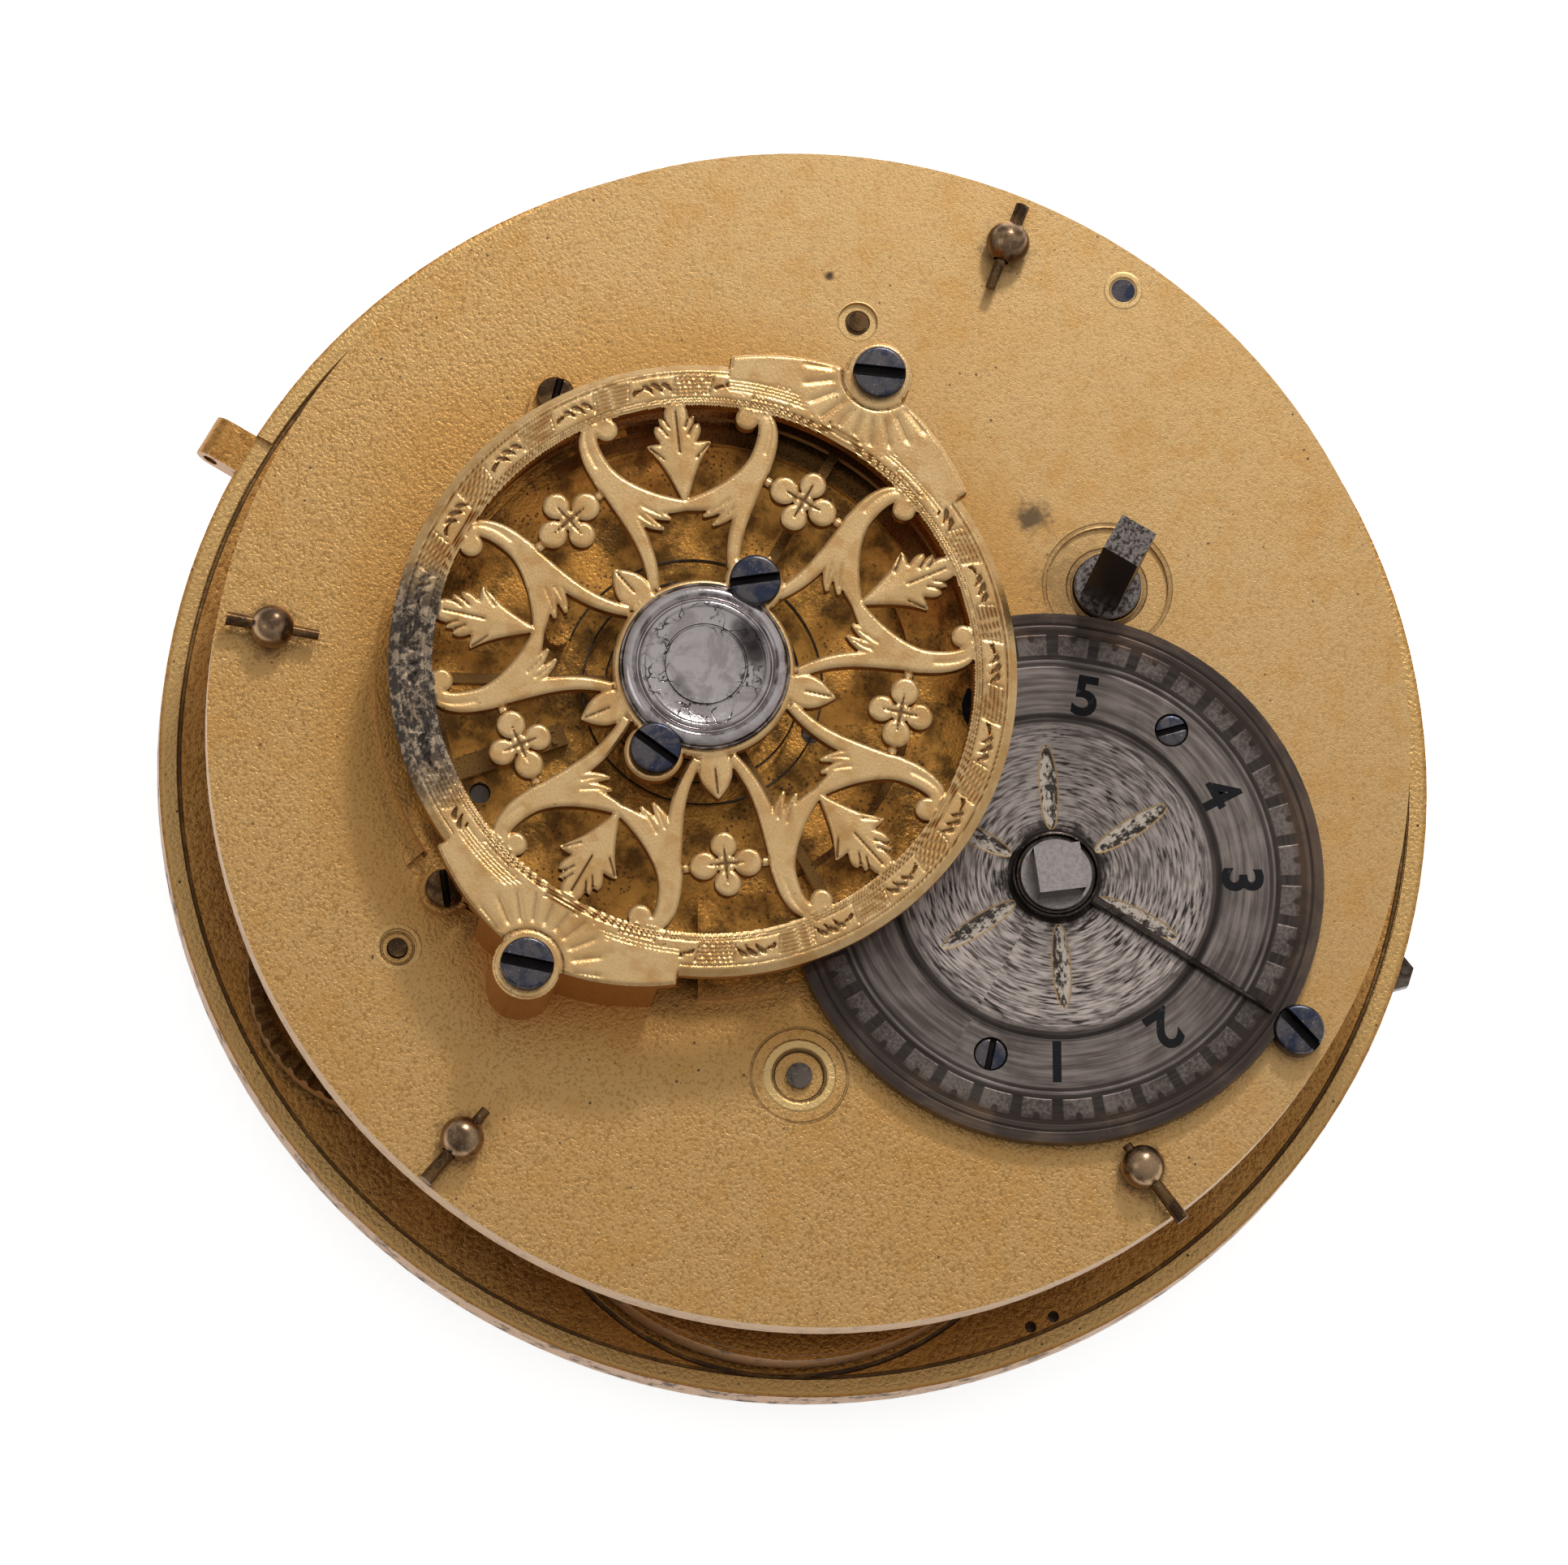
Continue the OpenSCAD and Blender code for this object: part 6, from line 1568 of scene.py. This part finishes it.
@dataclass
class SpringWork:
    """Hairspring, mainspring, chain and latch spring, in place of their plain forms."""

    steps: int = 120
    hair_coils: int = 5
    hair_in: float = 0.75
    hair_out: float = 4.2
    hair_z: float = 5.25
    hair_start: float = 100
    hair_strip: Point = (0.055, 0.2)
    main_coils: int = 8
    main_in: float = 1.63
    main_out: float = 7.55
    main_z: float = 1.13
    main_strip: Point = (0.2, 0.78)
    chain_turns: int = 5
    chain_low: float = 0.8
    chain_climb: float = 1.7
    chain_r0: float = 6.3
    chain_r1: float = 3.7
    link: float = 0.62
    link_steps: int = 7
    waist: float = 0.62
    plates: float = 3.2
    plate_pitch: float = 1.06
    wound_link: Point = (0.18, 0.19)
    run_link: Point = (0.26, 0.19)
    run_barrel_r: float = 8.5
    run_fusee_r: float = 4.15
    run_inset: float = 0.16
    run_steps: int = 40
    latch_a: float = -77.5
    latch_back: float = 13.62
    latch_keep: float = 0.66

    def coil(self, r0: float, r1: float, turns: int, start: float, z0: float, z1: float) -> Array:
        """Points of a flat or climbing spiral."""
        t = np.linspace(0, 1, turns * self.steps + 1)
        a = math.radians(start) + 2 * math.pi * turns * t
        r = r0 + (r1 - r0) * t
        return np.stack([r * np.cos(a), r * np.sin(a), z0 + (z1 - z0) * t], axis=1)

    def link_plate(self, length: float, high: float, thick: float) -> Mesh:
        """One figure-of-eight plate of the chain, along x, with its thickness along y."""
        a = np.linspace(-math.pi / 2, math.pi / 2, self.link_steps)
        r, half = high / 2, length / 2
        waist = self.waist * r
        right = np.stack([half + r * np.cos(a), r * np.sin(a)], axis=1)
        outline = np.concatenate([right, [[0.0, waist]], -right, [[0.0, -waist]]])
        x, z = outline.T
        return Maker.skin([np.column_stack([x, np.full(len(x), side * thick / 2), z]) for side in (1, -1)])

    def chain(self, line: Array, high: float, thick: float) -> Mesh:
        """Links of the chain along a line: a plate between two, turn by turn."""
        far = np.concatenate([[0], np.cumsum(np.linalg.norm(np.diff(line, axis=0), axis=1))])
        count = int(far[-1] // self.link)
        marks = np.linspace(0, far[-1], count + 1)
        pins = np.stack([np.interp(marks, far, line[:, k]) for k in range(3)], axis=1)
        parts = []
        for k in range(count):
            a, b = pins[k], pins[k + 1]
            way = (b - a) / np.linalg.norm(b - a)
            side = np.cross([0, 0, 1], way)
            side /= np.linalg.norm(side)
            turn = np.stack([way, side, np.cross(way, side)], axis=1)
            gauge = thick / self.plates
            pitch = self.plate_pitch * gauge
            plate = self.link_plate(float(np.linalg.norm(b - a)), high, gauge)
            for shift in (0.0,) if k % 2 else (-pitch, pitch):
                parts.append(((plate[0] + [0, shift, 0]) @ turn.T + (a + b) / 2, plate[1]))
        return Maker.join(parts)

    def build(self, shop: Shop, nodes: Nodes) -> None:
        """Builds the springs and the chain."""
        self.build_latch(shop, nodes["latch_spring"])
        hair = self.coil(
            self.hair_in, self.hair_out, self.hair_coils, self.hair_start, self.hair_z, self.hair_z
        )
        part = Maker.move(Maker.strip(hair, *self.hair_strip), BALANCE)
        Maker.piece("fine_hairspring", part, shop.black, "movement", "blued_steel", "hairspring")
        spring = self.coil(self.main_in, self.main_out, self.main_coils, 0, self.main_z, self.main_z)
        part = Maker.move(Maker.strip(spring, *self.main_strip), BARREL)
        Maker.piece("wound_mainspring", part, shop.dark, "movement", "polished_steel", "mainspring")
        climb = self.coil(
            self.chain_r0, self.chain_r1, self.chain_turns, 0, self.chain_low, self.chain_low + self.chain_climb
        )
        part = Maker.move(self.chain(climb, *self.wound_link), FUSEE)
        Maker.piece("fusee_chain", part, shop.dark, "fusee", "polished_steel", "chain_on_fusee")
        self.build_run(shop)

    def build_latch(self, shop: Shop, solid: bpy.types.Object) -> None:
        """Builds the latch spring as a copy of its solid, with a mesh of its own."""
        made = Maker.piece(
            "latch_blade", Maker.copied(solid), shop.dark, "movement", "polished_steel", "latch_spring",
            sharp=SOLID_SHARP,
        )
        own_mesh(made)

    def build_run(self, shop: Shop) -> None:
        """Builds the free run of the chain between the barrel and the fusee."""
        low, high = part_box("chain_run")
        barrel, fusee = np.array(BARREL), np.array(FUSEE)
        gap = fusee - barrel
        lean = math.acos((self.run_barrel_r - self.run_fusee_r) / np.linalg.norm(gap))
        side = math.atan2(gap[1], gap[0]) - lean
        out = np.array([math.cos(side), math.sin(side)])
        start = np.array([*barrel + self.run_barrel_r * out, low.z / MM + self.run_inset])
        end = np.array([*fusee + self.run_fusee_r * out, high.z / MM - self.run_inset])
        t = np.linspace(0, 1, self.run_steps)[:, None]
        part = self.chain(start * (1 - t) + end * t, *self.run_link)
        Maker.piece("chain_span", part, shop.dark, "movement", "polished_steel", "chain_run")


@dataclass
class DialWork:
    """Enamel dial with its numbers and minute track, and the hands."""

    radius: float = 19.8
    dome: float = 1.15
    middle_z: float = -3.03
    number_r: float = 14.6
    number_h: float = 3.9
    number_thick: float = 0.1
    track_r: float = 18.0
    track_half: float = 0.45
    line_w: float = 0.08
    minute_w: float = 0.1
    five_w: float = 0.3
    proud: float = 0.014

    def drape(self, part: Mesh) -> Mesh:
        """Lays a mesh that is flat in the xy plane on the outer face of the dial."""
        points = part[0].copy()
        r2 = points[:, 0] ** 2 + points[:, 1] ** 2
        points[:, 2] = self.middle_z + self.dome * r2 / self.radius**2 - self.proud * (points[:, 2] > 0)
        return points, part[1]

    def at(self, part: Mesh, hour: float, r: float) -> Mesh:
        """Places a mesh at an hour of the dial, read from below, with its top outwards."""
        points = part[0].copy()
        seen_x, points[:, 1] = rotated(points[:, 0], points[:, 1] + r, hour * 30)
        points[:, 0] = -seen_x
        return points, [list(reversed(f)) for f in part[1]]

    def ring(self, r: float, wide: float) -> Mesh:
        """Thin painted circle."""
        profile = [(r - wide / 2, 0.0), (r - wide / 2, 1.0), (r + wide / 2, 1.0), (r + wide / 2, 0.0)]
        return Maker.lathe(profile, 180)

    def tick(self, wide: float, long: float) -> Mesh:
        """Painted stroke along y."""
        x, y = wide / 2, long / 2
        corners = [(-x, -y), (x, -y), (x, y), (-x, y)]
        return Maker.skin([np.array([(*c, z) for c in corners]) for z in (0.0, 1.0)])

    def build(self, shop: Shop, nodes: Nodes) -> None:
        """Dresses the dial and the hands, and paints the numbers and the track."""
        Maker.dress(nodes, shop.enamel, "dial")
        parts = [
            self.at(Lettering.number(str(h), self.number_h, self.number_thick), h, self.number_r)
            for h in range(1, 13)
        ]
        parts += [self.ring(self.track_r + side * self.track_half, self.line_w) for side in (-1, 1)]
        for minute in range(60):
            wide = self.minute_w if minute % 5 else self.five_w
            parts.append(self.at(self.tick(wide, 2 * self.track_half), minute / 5, self.track_r))
        part = Maker.join([self.drape(p) for p in parts])
        Maker.piece("dial_figures", part, shop.ink, "movement", "enamel", sharp=60)
        Maker.dress(nodes, shop.blue, "hour_hand", "minute_hand")


@dataclass
class FrameWork:
    """Plates, pillars, train, barrel and the small work that keep their solids."""

    finishes: tuple[tuple[str, str], ...] = (
        ("top_gilt", "top_plate potence_screws"),
        ("low_gilt", "pillar_plate case_lug barrel barrel_cover"),
        ("bronze", "pillars dial_pins"),
        ("brown", "pillar_pins stop_spring contrate_arbor"),
        ("dark", "centre_arbor third_arbor barrel_arbor setup_ratchet setup_click latch_bolt"),
        ("dark", "stop_lever fusee_cap fusee_ratchet fusee_click"),
        ("blue", "stop_block"),
        ("brass", "potence counter_potence centre_wheel great_wheel third_wheel"),
        ("brass", "escape_wheel hour_wheel minute_wheel hairspring_collet"),
        ("bright", "escape_arbor verge cannon_pinion"),
        # the balance and the contrate wheel take the gilding painted darker as shade
        ("balance_gilt", "balance_wheel contrate_wheel"),
        ("wound", "fusee"),
    )

    def build(self, shop: Shop, nodes: Nodes) -> None:
        """Dresses every solid of the frame and of the train."""
        for finish, names in self.finishes:
            Maker.dress(nodes, getattr(shop, finish), *names.split())


@dataclass(frozen=True)
class Lamp:
    """Soft round lamp: its place and size in metres and its power in watts."""

    name: str
    at: tuple[float, float, float]
    size: float
    watts: float


@dataclass
class Studio:
    """Pale floor, soft light and the camera."""

    eye: tuple[float, float, float] = (-90.171, -12.672, 342.802)
    right: tuple[float, float, float] = (0.49313937, -0.86456536, 0.09664521)
    up: tuple[float, float, float] = (0.83241112, 0.50122109, 0.23636654)
    back: tuple[float, float, float] = (-0.25279494, -0.0361131, 0.96684568)
    lens: float = 259.4
    sensor: float = 36.0
    lamps: tuple[Lamp, ...] = (
        Lamp("key", (0.146, 0.035, 0.133), 0.03, 0.15), Lamp("fill", (-0.2, 0.3, 0.36), 0.25, 0.12),
    )
    sky_least: float = 0.216
    sky_rise: float = 0.5
    floor_half: float = 1.5
    floor_gap: float = 0.0002
    floor_glow: float = 0.62
    floor_tones: tuple[Colour, Colour] = (ink(250, 250, 250), ink(244, 244, 244))
    white: Colour = (1.0, 1.0, 1.0, 1.0)

    def camera(self) -> None:
        """Puts the camera where the photograph was taken from."""
        data = bpy.data.cameras.new("eye")
        data.lens = self.lens
        data.sensor_width = self.sensor
        data.clip_start, data.clip_end = 0.01, 10.0
        holder = added("eye", data)
        turn = Matrix((self.right, self.up, self.back)).transposed().to_4x4()
        holder.matrix_world = Matrix.Translation(Vector(self.eye) * MM) @ turn
        bpy.context.scene.camera = holder

    def lamp(self, lamp: Lamp) -> None:
        """Adds one lamp, which faces the movement."""
        data = bpy.data.lights.new(lamp.name, "AREA")
        data.shape = "DISK"
        data.size = lamp.size
        data.energy = lamp.watts
        holder = added(lamp.name, data)
        holder.location = lamp.at
        holder.rotation_mode = "QUATERNION"
        holder.rotation_quaternion = (-Vector(lamp.at)).to_track_quat("-Z", "Y")

    def sky(self) -> None:
        """Soft surroundings, brighter above and on the right of the picture."""
        world = bpy.data.worlds.new("tent")
        bpy.context.scene.world = world
        g = Graph("tent", world)
        x, y, z = g.parts(g.value("ShaderNodeTexCoord", out="Generated"))
        rise = (z * 0.6 + x * 0.4 - y * 0.1).step(-0.5, 1.0)
        strength = self.sky_least + rise * self.sky_rise
        light = g.value("ShaderNodeBackground", None, {"Color": self.white, "Strength": strength})
        g.node("ShaderNodeOutputWorld", None, {"Surface": light})

    def floor(self, z: float) -> None:
        """Lays a white floor under the movement, in metres."""
        g = Graph("floor_white")
        path = g.node("ShaderNodeLightPath")
        seen = Val(g, path.outputs["Is Camera Ray"])
        for ray in ("Is Glossy Ray", "Is Transmission Ray"):
            seen = seen.top(Val(g, path.outputs[ray]))
        colour = g.mix(*self.floor_tones, g.noise(0.02, 3))
        plain = g.value("ShaderNodeBsdfPrincipled", None, {"Base Color": colour, "Roughness": 0.9})
        glow = g.value("ShaderNodeEmission", None, {"Color": self.white, "Strength": self.floor_glow})
        lit = g.value("ShaderNodeAddShader", None, {0: plain, 1: glow})
        mixed = g.value("ShaderNodeMixShader", None, {0: seen.least(1.0), 1: plain, 2: lit})
        g.node("ShaderNodeOutputMaterial", None, {"Surface": mixed})
        mesh = bpy.data.meshes.new("floor")
        s = self.floor_half
        mesh.from_pydata([(-s, -s, z), (s, -s, z), (s, s, z), (-s, s, z)], [], [(0, 1, 2, 3)])
        mesh.materials.append(g.owner)
        added("floor", mesh)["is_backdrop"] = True

    def build(self, lowest: float) -> None:
        """Builds the floor, the light and the camera."""
        self.floor(lowest - self.floor_gap)
        self.sky()
        for lamp in self.lamps:
            self.lamp(lamp)
        self.camera()
        bpy.context.scene.view_settings.view_transform = "Standard"


def main() -> None:
    """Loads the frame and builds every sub-assembly in turn."""
    logging.basicConfig(level=logging.INFO, format="%(message)s")
    for old in list(bpy.data.objects):
        bpy.data.objects.remove(old)
    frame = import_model()
    nodes = frame["nodes"]
    cad_low, cad_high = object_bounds()
    shop = Shop()
    FrameWork().build(shop, nodes)
    BridgeWork().build(shop)
    RegulatorWork().build(shop, nodes)
    SpringWork().build(shop, nodes)
    DialWork().build(shop, nodes)
    Studio().build(cad_low.z)
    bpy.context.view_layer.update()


if __name__ == "__main__":
    main()
